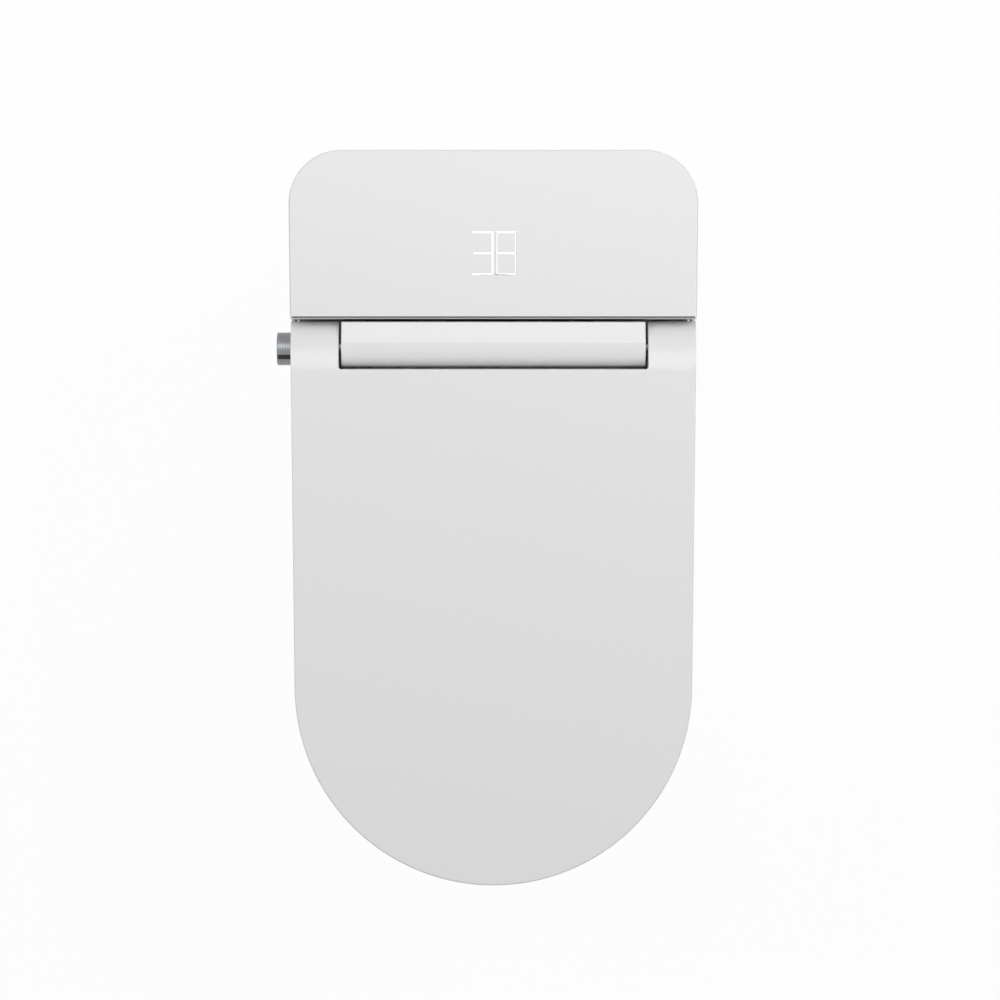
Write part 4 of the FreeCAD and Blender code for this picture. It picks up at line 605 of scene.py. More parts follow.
def rounded_rings(loop: Loop, low: float, high: float, radius: float) -> list[Loop]:
    """Stacks a loop from low to high, with its upper edge rounded.

    Args:
        loop: The outline.
        low: Lower height.
        high: Upper height.
        radius: Radius of the upper edge.

    Returns:
        The rings from low to high.
    """
    rings = [at_height(loop, low)]
    for out, up in quarter(5):
        rings.append(at_height(inset(loop, radius * (1 - out)), high - radius * (1 - up)))
    return rings


@dataclass
class SubAssembly:
    """A group of pieces that ride on one body."""

    made: list[Piece] = field(default_factory=list, init=False)

    def add(self, piece: Piece, body: str, nodes: Sequence[str], finish: Finish, slot: str) -> None:
        """Takes a finished piece into the object.

        Args:
            piece: The piece.
            body: The body that it rides on.
            nodes: The solids that it stands for.
            finish: What it is made of.
            slot: The material slot that this comes from; not used.
        """
        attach(piece, body)
        if nodes:
            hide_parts(*nodes)
        piece.data.materials.clear()
        piece.data.materials.append(finish.material())
        self.made.append(piece)
        LOG.info("%s: %d faces, %s", piece.name, len(piece.data.polygons), finish.name)


# ---- pedestal


@dataclass
class Pedestal(SubAssembly):
    """The fired body: foot, skirt, rim, bowl, notch and rear deck."""

    rim: float = 396.0
    deck: float = 340.0
    deck_inset: float = 4.0
    deck_lift: float = 30.0
    step_y: float = 77.6
    rear: float = 250.0
    corner: float = 30.0
    foot_half: float = 136.0
    foot_front: float = 312.0
    foot_flare: float = 10.0
    least_corner: float = 8.0
    rim_inset: float = 1.5
    wall: float = 11.0
    rim_round: float = 6.0
    mouth_round: float = 7.0
    foot_round: float = 2.5
    bowl_wall: float = 10.0
    bowl_floor: float = 96.0
    floor_inset: float = 6.0
    floor_drop: float = 1.6
    mouth_half: float = 112.0
    mouth_front_gap: float = 67.0
    mouth_rear: float = -18.0
    mouth_corner: float = 70.0
    sump_radius: float = 33.0
    sump_front: float = -198.0
    sump_rear: float = -126.0
    notch_half: float = 74.0
    notch_floor: float = 322.0
    notch_front: float = -24.0
    notch_reach: float = 16.0
    step_half: float = 186.0
    step_drop: float = 8.0
    step_back: float = 8.0
    cut_past: float = 4.0
    trap_radius: float = 28.0
    fixing_y: float = 160.0
    fixing_z: float = 35.0
    fixing_radius: float = 4.5
    boss_radius: float = 15.0
    boss_inner: float = 122.0
    boss_outer: float = 141.0
    jet_x: float = 88.0
    jet_z: float = 372.0
    jet_radius: float = 8.3
    jet_front: float = -68.0

    # Share of the way from foot to rim, and from mouth to sump, at shares of the height.
    skirt_curve: ClassVar[Curve] = ((0.0, 0.0), (0.3, 0.1), (0.55, 0.44), (0.8, 0.88), (1.0, 1.0))
    bowl_curve: ClassVar[Curve] = (
        (0.0, 0.0), (0.18, 0.05), (0.4, 0.25), (0.6, 0.55), (0.8, 0.86), (1.0, 1.0)
    )
    # Y, rise above the sump and lean in degrees along the waterway.
    siphon: ClassVar[Sequence[tuple[float, float, float]]] = (
        (-165.0, 0.0, 0.0), (-128.0, 0.0, 0.0), (-118.0, 2.0, 20.0),
        (-108.0, 7.0, 38.0), (-96.0, 19.0, 58.0), (-80.0, 45.0, 59.0),
    )

    def skirt_ring(self, height: float, distance: float) -> Loop:
        """Returns the skirt's outline at a height, moved in by a distance."""
        out = spread(self.skirt_curve, min(1.0, height / self.rim))
        rim = self.rim_inset
        loop = d_loop(
            mix(self.foot_half, CASING.nose - rim, out) - distance,
            mix(-self.foot_front, CASING.front + rim, out) + distance,
            mix(self.foot_half + self.foot_flare, CASING.half - rim, out) - distance,
            self.rear - distance,
            self.corner - min(distance, self.corner - self.least_corner),
        )
        return at_height(loop, height)

    def bowl_ring(self, down: float, grow: float) -> Loop:
        """Returns the bowl's outline at a share of its depth, made larger by grow."""
        share, floor = spread(self.bowl_curve, down), self.bowl_floor - grow
        loop = d_loop(
            mix(self.mouth_half - 3, self.sump_radius - 2, share) + grow,
            mix(CASING.front + self.mouth_front_gap, self.sump_front, share) - grow,
            mix(self.mouth_half, self.sump_radius, share) + grow,
            mix(self.mouth_rear, self.sump_rear, share) + grow,
            mix(self.mouth_corner, self.sump_radius - 4, share) + grow,
        )
        return at_height(loop, mix(self.rim, floor, down))

    def body_rings(self) -> list[Loop]:
        """Returns the rings of the body: up the skirt, over the rim, down the bowl and back."""
        foot, rim, mouth = self.foot_round, self.rim_round, self.mouth_round
        rings = [self.skirt_ring(foot * k, foot * (1 - k)) for k in (0.0, 0.3, 0.7, 1.0)]
        rings += [self.skirt_ring(height, 0.0) for height in range(12, int(self.rim - rim), 12)]
        rings += [self.skirt_ring(self.rim - rim * (1 - up), rim * (1 - out)) for out, up in quarter(6)]
        for out, up in quarter(6):
            rings.append(at_height(self.bowl_ring(0.0, mouth * (1 - up)), self.rim - mouth * (1 - out)))
        start = mouth / (self.rim - self.bowl_floor)
        rings += [self.bowl_ring(start + (1 - start) * k / 34, 0.0) for k in range(1, 34)]
        for share in (0.0, 0.5, 1.0):
            ring = inset(self.bowl_ring(1.0, 0.0), self.floor_inset * share)
            rings.append(at_height(ring, self.bowl_floor - self.floor_drop * share))
        return rings

    def under_rings(self) -> list[Loop]:
        """Returns the rings of the hollow under the rim, from the floor up and down round the bowl."""
        ceiling = self.rim - 2 * self.wall
        rings = [self.skirt_ring(h, self.wall) for h in range(0, int(ceiling), 15)]
        rings.append(self.skirt_ring(ceiling, self.wall))
        start = (self.rim - ceiling) / (self.rim - self.bowl_floor + self.bowl_wall)
        rings += [self.bowl_ring(start + (1 - start) * k / 22, self.bowl_wall) for k in range(23)]
        return rings

    def waterway(self) -> Piece:
        """Makes the round tool that opens the sump into the siphon behind it."""
        rings = []
        for y, rise, lean in self.siphon:
            tilt = Matrix.Rotation(math.radians(lean), 3, "X")
            centre = Vector((0.0, y, self.bowl_floor + self.trap_radius + rise))
            around = circle_section(0.0, 0.0, self.trap_radius)
            rings.append([centre + tilt @ Vector((x, 0.0, z)) for x, z in around])
        return ring_solid("waterway", rings)

    def jet_bore(self) -> Piece:
        """Makes the tool for the flush jet's hole through the step."""
        around = circle_section(self.jet_x, self.jet_z, self.jet_radius, 64)
        ends = (self.jet_front, self.step_y + self.cut_past)
        return ring_solid("jet_bore", [[Vector((x, y, z)) for x, z in around] for y in ends])

    def build(self) -> None:
        """Builds the body as one closed surface and cuts the step, the notch and the waterway."""
        body = ring_solid("pedestal_body", self.body_rings()[::-1] + self.under_rings())
        ledge, under, over = self.step_y - self.wall, self.deck - self.wall, self.rim - self.step_drop
        edge = self.skirt_ring(self.deck, self.deck_inset)
        deck = prism("deck_plate", edge, under, self.deck + self.deck_lift)
        shape_with(deck, Join.KEEP, box("deck_zone", (-FAR, ledge, 0.0), (FAR, FAR, FAR)))
        high = (self.step_half, self.step_y + self.step_back, over)
        step = box("step_wall", (-self.step_half, ledge, under), high)
        half = self.notch_half + self.wall
        low = (-half, self.notch_front, self.notch_floor - self.wall)
        trough = box("notch_block", low, (half, self.step_y, over))
        fixing, bosses = (self.fixing_y, self.fixing_z), []
        for side in SIDES:
            ends = on_side(side, self.boss_inner, self.boss_outer)
            bosses.append(rod("fixing_boss", *fixing, self.boss_radius, ends, 64))
        shape_with(body, Join.ADD, deck, step, trough, *bosses)
        low = (-self.notch_half, self.notch_front - self.notch_reach, self.notch_floor)
        shape_with(
            body,
            Join.CUT,
            box("deck_space", (-FAR, self.step_y, self.deck), (FAR, FAR, FAR)),
            box("notch_space", low, (self.notch_half, self.step_y + self.cut_past, FAR)),
            self.waterway(),
            rod("fixing_bore", *fixing, self.fixing_radius, (-FAR, FAR)),
            self.jet_bore(),
        )
        stands_for = ("pedestal_top", "pedestal_skirt", "pedestal_bowl", "fixing_bosses")
        self.add(soften(body, 40.0), "base", stands_for, GLAZED_CHINA, "ceramic")


# ---- rear unit


@dataclass
class RearUnit(SubAssembly):
    """The cover behind the lid, its lit display and the fixed hinge bar."""

    top: float = 450.0
    low: float = 436.0
    front: float = 126.4
    side_inset: float = 0.4
    edge_round: float = 2.0
    front_corner: float = 0.8
    skin: float = 3.0
    wall: float = 3.0
    apron_gap: float = 1.2
    apron_low: float = 404.0
    digit_height: float = 39.3
    digit_width: float = 18.3
    digit_pitch: float = 21.9
    digit_x: float = 1.0
    stroke: float = 1.6
    short_middle: float = 1.2
    digit_y: float = 187.6
    stroke_skin: float = 0.5
    stroke_lift: float = 0.02
    stroke_proud: float = 0.06
    well_gap: float = 0.01
    bar_front: float = 82.1
    bar_rear: float = 123.9
    bar_half: float = 142.8
    bar_crest_y: float = 104.0
    bar_top: float = 447.3
    bar_rear_top: float = 442.7
    bar_low: float = 402.3
    bar_wall: float = 2.5
    shaft_radius: float = 5.4
    end_round: float = 1.2
    front_fullness: float = 3.2

    figures: ClassVar[dict[str, str]] = {"3": "1011011", "8": "1111111"}

    def cover(self) -> None:
        """Builds the cover with rounded edges, a hollow under it and its front apron."""
        front, wall, inside = self.front, self.wall, self.top - self.skin
        loop = CASING.behind(front, self.side_inset, self.front_corner)
        panel = ring_solid("cover_panel", rounded_rings(loop, self.low, self.top, self.edge_round))
        room = prism("room", CASING.behind(front + wall, self.side_inset + wall), 400, inside)
        half = CASING.half_width(front, wall + self.apron_gap)
        apron = box("apron", (-half, front, self.apron_low), (half, front + wall, self.low + 4))
        shape_with(panel, Join.CUT, room)
        shape_with(panel, Join.ADD, apron)
        heights = (self.top - self.stroke_skin, self.top + 1)
        shape_with(panel, Join.CUT, *self.strokes("well", self.well_gap, *heights))
        self.add(soften(panel, 30.0), "base", ("top_cover",), POLISHED_ABS, "casing")

    def strokes(self, name: str, grow: float, low: float, high: float) -> list[Piece]:
        """Makes the lit strokes of both figures.

        Args:
            name: First part of the pieces' names.
            grow: How much wider than the lit stroke.
            low: Lower height.
            high: Upper height.

        Returns:
            One bar for each stroke.
        """
        wide, tall, stroke = self.digit_width, self.digit_height, self.stroke
        centres = (self.digit_x - self.digit_pitch / 2, self.digit_x + self.digit_pitch / 2)
        bars = []
        for (figure, lit_strokes), centre in zip(self.figures.items(), centres):
            left, right = centre - wide / 2, centre + wide / 2
            edge = left - stroke / 2
            levels = [self.digit_y + k * tall / 2 - stroke / 2 for k in (1, 0, -1)]
            flat = [(edge, level, wide + stroke, stroke) for level in levels]
            half = (tall + stroke) / 2
            upright = [
                (x - stroke / 2, y, stroke, half)
                for y in (self.digit_y - stroke / 2, self.digit_y - half)
                for x in (left, right)
            ]
            order = (flat[0], upright[0], upright[1], flat[1], upright[2], upright[3], flat[2])
            for number, (spot, lit) in enumerate(zip(order, lit_strokes)):
                if lit == "1":
                    x, y, along, deep = spot
                    if figure == "3" and spot is flat[1]:
                        x, along = x + self.short_middle, along - self.short_middle
                    far_corner = (x + along + grow, y + deep + grow, high)
                    bars.append(box(f"{name}_{figure}_{number}", (x - grow, y - grow, low), far_corner))
        return bars

    def display(self) -> None:
        """Builds the lit strokes as one moulding, flush with the cover."""
        heights = (self.top - self.stroke_skin + self.stroke_lift, self.top + self.stroke_proud)
        bars = self.strokes("stroke", 0.0, *heights)
        lit = shape_with(bars[0], Join.ADD, *bars[1:])
        lit.name = "display_strokes"
        self.add(soften(lit, 30.0), "base", ("display_segments",), LIT_ACRYLIC, "lit_digits")

    def bar_section(self, wall: float) -> Outline:
        """Returns the bar's outline in the (y, z) plane, moved in by a wall thickness."""
        front, rear, crest = self.bar_front + wall, self.bar_rear - wall, self.bar_top - wall
        run, rise, power = self.bar_crest_y - front, crest - HINGE.z, 2.0 / self.front_fullness
        curve = [
            (self.bar_crest_y - run * max(0.0, out) ** power, HINGE.z + rise * up**power)
            for out, up in quarter(40)
        ]
        low = self.bar_low - (1.0 if wall else 0.0)
        return curve + [(rear, self.bar_rear_top - wall), (rear, low), (front, low)]

    def bar(self) -> None:
        """Builds the hinge bar as a thin shell with softly broken ends and a crisp crest."""
        shell = bar_along_x("hinge_bar_shell", self.bar_section(0.0), -self.bar_half, self.bar_half)
        baked(bevel(shell, self.end_round, 3, 50.0))
        end = self.bar_half - self.bar_wall
        room = bar_along_x("bar_room", self.bar_section(self.bar_wall), -end, end)
        hole = rod("shaft_hole", HINGE.y, HINGE.z, self.shaft_radius, (-FAR, FAR))
        shape_with(shell, Join.CUT, room, hole)
        self.add(soften(shell, 9.0), "base", ("hinge_bar_cover",), POLISHED_ABS, "casing")

    def build(self) -> None:
        """Builds the cover, the display and the bar."""
        self.cover()
        self.display()
        self.bar()


# ---- lid


@dataclass
class Lid(SubAssembly):
    """The lid: a flat top, rolled off at the rear, with a slot for the bar and hinge cheeks."""

    low: float = 427.0
    top: float = 450.0
    side_inset: float = 0.4
    wall: float = 3.5
    skin: float = 3.0
    edge_round: float = 1.6
    roll_start: float = 76.4
    rear: float = 125.2
    roll_low: float = 420.0
    slot_half: float = 145.2
    slot_front: float = 79.0
    slot_wall: float = 2.5
    slot_wall_depth: float = 16.0
    slot_corner: float = 2.6
    rim_round: float = 1.1
    arm_outer: float = 165.9
    ear_inner: float = 166.5
    cheek_radius: float = 23.8
    bore_half: float = 187.0

    def roll(self, distance: float) -> Outline:
        """Returns the rolled-off rear in the (y, z) plane, moved in by a distance."""
        run = self.rear - self.roll_start - distance
        drop = self.top - self.roll_low - distance
        return [(self.roll_start + run * out, self.roll_low + drop * up) for up, out in quarter(48)]

    def side_view(self, distance: float, low: float) -> Outline:
        """Returns the whole side view: flat, then down the roll-off to the rear edge.

        Args:
            distance: How far the outline is moved in.
            low: Where the flat part's lower edge lies.

        Returns:
            (y, z) points of the closed outline.
        """
        flat, start = [(-FAR, low), (-FAR, self.top - distance)], self.roll_start
        return flat + self.roll(distance) + [(start, self.roll_low), (start, low)]

    def shell(self) -> Piece:
        """Builds the hollow moulding without its cheeks."""
        loop, foot = CASING.loop(self.side_inset), self.roll_low - 20.0
        panel = ring_solid("lid_panel", rounded_rings(loop, foot, self.top, self.edge_round))
        shape_with(panel, Join.KEEP, bar_along_x("roll", self.side_view(0.0, self.low)))
        loop = CASING.loop(self.side_inset + self.wall)
        room = prism("lid_room", loop, foot - 20.0, self.top - self.skin)
        shape_with(room, Join.KEEP, bar_along_x("roll_room", self.side_view(self.skin, self.low - 20)))
        return shape_with(panel, Join.CUT, room)

    def cheeks(self) -> list[Piece]:
        """Builds both hinge cheeks, trimmed to the casing's outline and under the roll-off."""
        made = []
        for side in SIDES:
            ends = on_side(side, self.ear_inner, FAR)
            knuckle = rod(f"knuckle_{side}", HINGE.y, HINGE.z, self.cheek_radius, ends, ROUND)
            trim = prism("trim", CASING.loop(self.side_inset), self.roll_low - 40.0, self.top)
            under = bar_along_x("under_roll", [(0.0, 350.0), *self.roll(0.3), (self.rear, 350.0)])
            made.append(shape_with(knuckle, Join.KEEP, trim, under))
        return made

    def top_at(self, y: float) -> tuple[float, Vector]:
        """Returns the height of the lid's upper surface at a place, and the way that it faces."""
        share = min(1.0, max(0.0, (y - self.roll_start) / (self.rear - self.roll_start)))
        rise = math.sqrt(1.0 - share * share)
        drop, run = self.top - self.roll_low, self.rear - self.roll_start
        return self.roll_low + drop * rise, Vector((0.0, share * drop, rise * run)).normalized()

    def slot_plan(self) -> Loop:
        """Draws the slot's edge in plan from its right rear end round to its left rear end."""
        half, front, corner = self.slot_half, self.slot_front, self.slot_corner
        depth = self.rear - front - corner
        right: Loop = [Vector((half, front + corner + depth * out, 0.0)) for out, _ in quarter(40)[:-1]]
        spot = Vector((half - corner, front + corner, 0.0))
        right += [spot + corner * Vector((out, -up, 0.0)) for out, up in quarter(6)]
        right += [Vector(((half - corner) * (1 - k / 12), front, 0.0)) for k in range(1, 12)]
        return right + [Vector((0.0, front, 0.0))] + mirrored(right)

    def slot_rim(self) -> Piece:
        """Makes the tool that rounds the slot's rim, all along the flat top and the roll-off."""
        path, radius, above, foot = self.slot_plan(), self.rim_round, 1.6, Vector((0.0, 0.0, -6.0))
        section = [(-1.0, above), (-1.0, -radius), (radius, above)]
        section[2:2] = [(radius * (1 - out), radius * (up - 1)) for out, up in quarter(4)]
        last = len(path) - 1
        ends = {0: Vector((1.0, 0.0, 0.0)), last: Vector((-1.0, 0.0, 0.0))}
        rings = []
        for index, point in enumerate(path):
            along = (path[min(last, index + 1)] - path[max(0, index - 1)]).normalized()
            away = ends.get(index, Vector((-along.y, along.x, 0.0)))
            height, facing = self.top_at(point.y)
            spot = Vector((point.x, point.y, height))
            rings.append([spot + away * across + facing * up for across, up in section])
        feet = [[p + foot for p in rings[k]] for k in (0, -1)]
        return ring_solid("slot_rim", feet[:1] + rings + feet[1:])

    def build(self) -> None:
        """Builds the lid with its slot, slot lining and cheeks."""
        panel = self.shell()
        half, wall, front, above = self.slot_half, self.slot_wall, self.slot_front, self.top + 1
        low = (-half - wall, front - wall, self.top - self.slot_wall_depth)
        linings = [box("lining_front", low, (half + wall, front + 3, above))]
        for side in SIDES:
            left, right = on_side(side, half - 0.5, half + wall)
            corners = (left, front - wall, self.roll_low), (right, self.rear + 1, above)
            linings.append(box("lining_side", *corners))
        for lining in linings:
            trim = bar_along_x("lining_trim", self.side_view(0.0, self.roll_low))
            shape_with(lining, Join.KEEP, trim)
        shape_with(panel, Join.ADD, *linings, *self.cheeks())
        outline = self.slot_plan() + [Vector((-half, FAR, 0.0)), Vector((half, FAR, 0.0))]
        low = (-self.arm_outer, self.roll_start - 4, 0.0)
        shape_with(
            panel,
            Join.CUT,
            prism("slot", outline[::-1], 0.0, FAR),
            self.slot_rim(),
            box("arm_room", low, (self.arm_outer, HINGE.y + 14, HINGE.z - 2)),
            rod("bore", HINGE.y, HINGE.z, HINGE.bore, (-self.bore_half, self.bore_half)),
        )
        self.add(soften(panel, 28.0), "lid", ("lid_shell",), POLISHED_ABS, "casing")


# ---- seat


@dataclass
class Seat(SubAssembly):
    """The heated seat: a dished ring with rounded edges and two hinge arms."""

    low: float = 401.0
    top: float = 424.0
    edge_inset: float = 1.0
    edge_round: float = 7.0
    dish: float = 1.6
    rear: float = 76.1
    rear_corner: float = 12.0
    opening_half: float = 106.0
    opening_front: float = -326.0
    opening_rear: float = -34.0
    opening_corner: float = 94.0
    recess: float = 3.7
    wall: float = 3.0
    arm_inner: float = 148.3
    arm_outer: float = 165.3
    eye: float = 12.5
    lip: float = 0.8

    def outer(self, distance: float) -> Loop:
        """Returns the seat's outer edge, moved in by a distance."""
        total, softest = self.edge_inset + distance, 8.0
        side = CASING.half_width(self.rear - 20, total)
        corner = self.rear_corner - min(distance, softest)
        return d_loop(CASING.nose - total, CASING.front + total, side, self.rear - distance, corner)

    def inner(self, distance: float) -> Loop:
        """Returns the opening's edge, made larger by a distance."""
        half, front = self.opening_half + distance, self.opening_front - distance
        rear, corner = self.opening_rear + distance, self.opening_corner + distance
        return d_loop(half - 2.0, front, half, rear, corner)

    def ring(self) -> Piece:
        """Builds the ring from its section: side, edge, dished top, edge, side and recess."""
        radius, low, top, lip, wall = self.edge_round, self.low, self.top, self.lip, self.wall
        rings = [at_height(self.outer(0.0), low + lip)]
        for out, up in quarter(8):
            rings.append(at_height(self.outer(radius * (1 - out)), top - radius * (1 - up)))
        outer, inner, across = self.outer(radius), self.inner(radius), 14
        for share in (step / across for step in range(1, across)):
            sink = self.dish * math.sin(math.pi * share) ** 2
            rings.append(at_height([a.lerp(b, share) for a, b in zip(outer, inner)], top - sink))
        for up, out in quarter(8):
            rings.append(at_height(self.inner(radius * (1 - out)), top - radius * (1 - up)))
        for distance, height in ((0.0, low + lip), (lip, low), (wall, low), (wall, low + self.recess)):
            rings.append(at_height(self.inner(distance), height))
        for distance, height in ((wall, low + self.recess), (wall, low), (lip, low)):
            rings.append(at_height(self.outer(distance), height))
        return ring_solid("seat_ring", rings, joined=True)

    def arm(self, side: int) -> Piece:
        """Builds one hinge arm with its eye.

        Args:
            side: -1 for left, 1 for right.

        Returns:
            The arm.
        """
        root = self.rear - 7.0
        eye = arc((HINGE.y, HINGE.z), self.eye, -90.0, 118.0, 30)
        section = [(root, HINGE.z - self.eye)] + eye + [(root, self.top - 1.5)]
        name = "seat_arm_left" if side < 0 else "seat_arm_right"
        made = bar_along_x(name, section, *on_side(side, self.arm_inner, self.arm_outer))
        baked(bevel(made, 0.7, 2, 60.0))
        shape_with(made, Join.CUT, rod("eye_hole", HINGE.y, HINGE.z, HINGE.bore, (-FAR, FAR)))
        return soften(made, 30.0)

    def build(self) -> None:
        """Builds the ring and both arms."""
        self.add(soften(self.ring(), 40.0), "seat", ("seat_top",), SEAT_PP, "seat_plastic")
        for side in SIDES:
            self.add(self.arm(side), "seat", (), SEAT_PP, "seat_plastic")


# ---- side knob


@dataclass
class SideKnob(SubAssembly):
    """The turned cap on the left side and the collar it stands in."""

    face: float = -206.0
    wall_x: float = -191.0
    collar_proud: float = 1.5
    axis_y: float = 100.6
    axis_z: float = 378.0
    radius: float = 15.6
    chamfer: float = 1.0
    skirt: float = 18.0
    web: float = 6.6
    shell: float = 2.5
    bore: float = 3.0
    # Angle round the axis and width, in degrees, of the black strip of painted reflection.
    reflection_strip_at: float = 122.0
    reflection_strip_width: float = 18.0

    def cap(self) -> None:
        """Turns the cap: a faintly hollow face, a soft chamfer and a plain side."""
        r, c, skirt, web = self.radius, self.chamfer, self.skirt, self.web
        inside = r - self.shell
        profile = [(0.35, 0.02), (0.32, 4.0), (0.22, 8.0), (0.06, 12.0), (0.0, 13.4)]
        for turn in (0.2, 0.6, 1.0, 1.3, math.pi / 2):
            profile.append((c * (1 - math.cos(turn)), r - c + c * math.sin(turn)))
        profile += [(4.0, r), (9.0, r), (14.0, r), (skirt - 0.3, r), (skirt, r - 0.3)]
        profile += [(skirt, inside), (web, inside), (web, self.bore), (web, 0.02)]
        made = turned("knob_turned_cap", profile, (self.face, self.axis_y, self.axis_z))
        self.add(made, "knob_rotor", ("knob_cap",), PAINTED_DARK_CHROME, "knob_chrome")

    def collar(self) -> None:
        """Turns the thin collar in the housing's wall."""
        inner, outer = self.radius + 0.4, self.radius + 2.4
        profile = [(0.0, inner + 0.3), (0.0, outer - 0.4), (0.12, outer - 0.12), (0.4, outer)]
        profile += [(1.2, outer), (1.2, inner), (0.3, inner)]
        centre = (self.wall_x - self.collar_proud, self.axis_y, self.axis_z)
        made = turned("knob_collar", profile, centre, True)
        self.add(made, "base", ("knob_bezel",), PAINTED_DARK_CHROME, "knob_chrome")

    def painted_reflection_strip(self) -> None:
        """Lays a black strip along the cap's side, a little forward of its top: painted reflection of
        dark surroundings in the chrome.
        """
        rings = []
        end = self.skirt - 2.0
        for along, lift in ((0.9, 0.0), (1.05, 0.06), (end - 0.2, 0.06), (end, 0.0)):
            ring = []
            for radius, way in ((self.radius + lift, 0.5), (self.radius - 0.6, -0.5)):
                start, stop = (self.reflection_strip_at + turn * way * self.reflection_strip_width for turn in (-1, 1))
                points = arc((self.axis_y, self.axis_z), radius, start, stop, 8)
                ring += [Vector((self.face + along, y, z)) for y, z in points]
            rings.append(ring)
        # The black strip is painted reflection: it stands in for dark surroundings reflected in the
        # chrome.
        painted_strip = soften(ring_solid("knob_painted_reflection_strip", rings), 40.0)
        self.add(painted_strip, "knob_rotor", (), BLACK_NYLON_AND_PAINTED_REFLECTION, "dark_plastic")

    def build(self) -> None:
        """Builds the cap, the black strip of painted reflection on it, and its collar."""
        self.cap()
        self.painted_reflection_strip()
        self.collar()


# ---- pieces carried over


@dataclass
class CarriedOver:
    """Solids that keep their shape and get a finish and broken edges."""

    finishes: ClassVar[dict[str, Finish]] = {
        "ceramic": GLAZED_CHINA,
        "casing": SATIN_ABS,
        "seat_plastic": SEAT_PP,
        "steel": ZINC_STEEL,
        "lit_digits": LIT_ACRYLIC,
        "circuit_board": SOLDER_RESIST,
        "light_block": OPAL_ACRYLIC,
        "dark_plastic": BLACK_NYLON_AND_PAINTED_REFLECTION,
        "brass_body": BRASS,
        "hose_rubber": HOSE_RUBBER,
        "tank_plastic": NATURAL_PP,
        "charcoal": CHARCOAL_FOAM,
        "chip_black": EPOXY_BLACK,
        "painted_case": POWDER_COAT,
        "knob_chrome": PAINTED_DARK_CHROME,
        "foil": HEATING_FOIL,
        "bumper_rubber": SOFT_RUBBER,
        "bush_plastic": ACETAL,
        "wand_plastic": POLISHED_ABS,
    }
    # Edge radius in millimetres, and the solids that have it.
    broken_edges: ClassVar[dict[float, Sequence[str]]] = {
        1.2: ("seat_bumpers", "lid_bumpers"),
        1.0: ("power_supply",),
        0.6: ("heater_tank", "wand_motors"),
        0.5: ("hinge_dampers",),
        0.4: ("board_components",),
        0.3: ("display_lamps", "night_light", "chassis_bolts", "board_posts"),
        0.2: ("control_board", "display_board"),
    }

    def dress(self, nodes: dict[str, Piece], record: dict[str, Any]) -> None:
        """Gives every shown solid the finish of its slot.

        Args:
            nodes: The solids by name.
            record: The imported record, which names each solid's slot.
        """
        slots = {part["node"]: part["material_slot"] for part in record["subparts"]}
        for name, node in nodes.items():
            finish = self.finishes[slots[name]]
            for spot in node.material_slots:
                spot.material = finish.material()
            LOG.info("%s: carried over, %s", name, finish.name)
        for radius, names in self.broken_edges.items():
            for name in names:
                bevel(nodes[name], radius, 2, 50.0)


# ---- studio


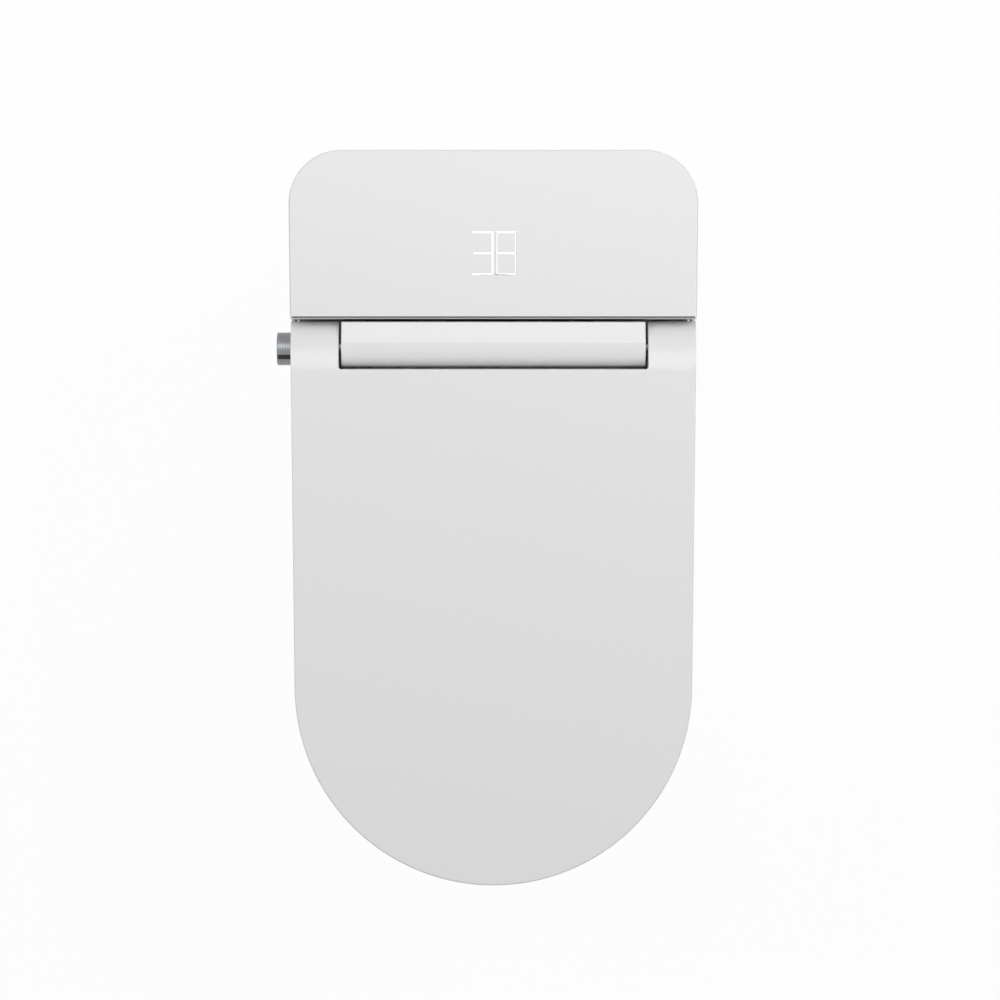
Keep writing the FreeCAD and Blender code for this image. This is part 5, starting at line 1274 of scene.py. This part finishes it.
@dataclass
class Studio:
    """Camera, floor and soft light."""

    camera_at: tuple[float, float, float] = (0.0062, -0.0435, 4.45)
    lens: float = 153.75
    middle: tuple[float, float, float] = (0.0, -0.05, 0.4)
    ambient: float = 0.325
    floor_half: float = 9.0
    floor_glow: float = 0.95

    # Name, place and side in metres, and watts.
    softboxes: ClassVar[Sequence[tuple[str, tuple[float, float, float], float, float]]] = (
        ("rear_softbox", (0.15, 1.0, 3.15), 1.45, 14.0),
        ("right_softbox", (1.7, 0.7, 2.5), 1.6, 29.5),
        ("left_softbox", (-1.7, 0.7, 2.5), 1.6, 22.0),
    )

    def camera(self) -> None:
        """Places the camera straight above the object."""
        eye = bpy.data.cameras.new("camera")
        eye.lens = self.lens
        eye.sensor_width = 36.0
        eye.clip_end = 60.0
        holder = linked("camera", eye)
        holder.location = self.camera_at
        bpy.context.scene.camera = holder

    def lamp(self, name: str, at: Sequence[float], size: float, watts: float) -> None:
        """Hangs a square soft light that faces the middle of the object."""
        light = bpy.data.lights.new(name, "AREA")
        light.shape = "SQUARE"
        light.size = size
        light.energy = watts
        holder = linked(name, light)
        holder.location = at
        aim = Vector(self.middle) - Vector(at)
        holder.rotation_euler = aim.to_track_quat("-Z", "Y").to_euler()

    def seen_directly(self, tree: bpy.types.NodeTree) -> bpy.types.NodeSocket:
        """Adds nodes that give 1 for camera, glossy and transmission rays."""
        rays = add_node(tree, "LightPath").outputs
        seen = rays["Is Camera Ray"]
        for other in ("Is Glossy Ray", "Is Transmission Ray"):
            seen = add_node(tree, "Math", {0: seen, 1: rays[other]}, operation="MAXIMUM").outputs[0]
        return seen

    def world(self) -> None:
        """Makes a white surround that lights the object softly."""
        world = bpy.data.worlds.new("white_surround")
        tree = blank_tree(world)
        seen = self.seen_directly(tree)
        level = add_node(tree, "MapRange", {"Value": seen, "To Min": self.ambient, "To Max": 1.0})
        glow = add_node(tree, "Background", {"Color": WHITE, "Strength": level.outputs["Result"]})
        add_node(tree, "OutputWorld", {"Surface": glow.outputs[0]})
        bpy.context.scene.world = world

    def floor(self) -> None:
        """Lays a plain white floor that keeps the object's shadow."""
        half = self.floor_half / MM
        corners = [Vector((x * half, y * half, 0)) for x, y in ((-1, -1), (1, -1), (1, 1), (-1, 1))]
        sheet = mesh_object("studio_floor", corners, [(0, 1, 2, 3)])
        paper = bpy.data.materials.new("matt_white_paper")
        tree = blank_tree(paper)
        seen = self.seen_directly(tree)
        matt = add_node(tree, "BsdfDiffuse", {"Color": linear("#F6F6F6")})
        glow = add_node(tree, "Emission", {"Color": WHITE, "Strength": 1.0})
        share = add_node(tree, "Math", {0: seen, 1: self.floor_glow}, operation="MULTIPLY")
        mix = add_node(tree, "MixShader", {0: share.outputs[0], 1: matt.outputs[0], 2: glow.outputs[0]})
        add_node(tree, "OutputMaterial", {"Surface": mix.outputs[0]})
        sheet.data.materials.append(paper)

    def build(self) -> None:
        """Sets up the camera, the lamps, the surround and the floor."""
        self.camera()
        for softbox in self.softboxes:
            self.lamp(*softbox)
        self.world()
        self.floor()
        bpy.context.scene.view_settings.view_transform = "Standard"


def main() -> None:
    """Builds the studio and every sub-assembly on the loaded frame."""
    logging.basicConfig(level=logging.INFO, format="%(name)s %(message)s")
    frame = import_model()
    Studio().build()
    CarriedOver().dress(frame["nodes"], frame["record"])
    for part in (Pedestal(), RearUnit(), Lid(), Seat(), SideKnob()):
        part.build()
        LOG.info("%s: %d pieces", type(part).__name__, len(part.made))


if __name__ == "__main__":
    main()
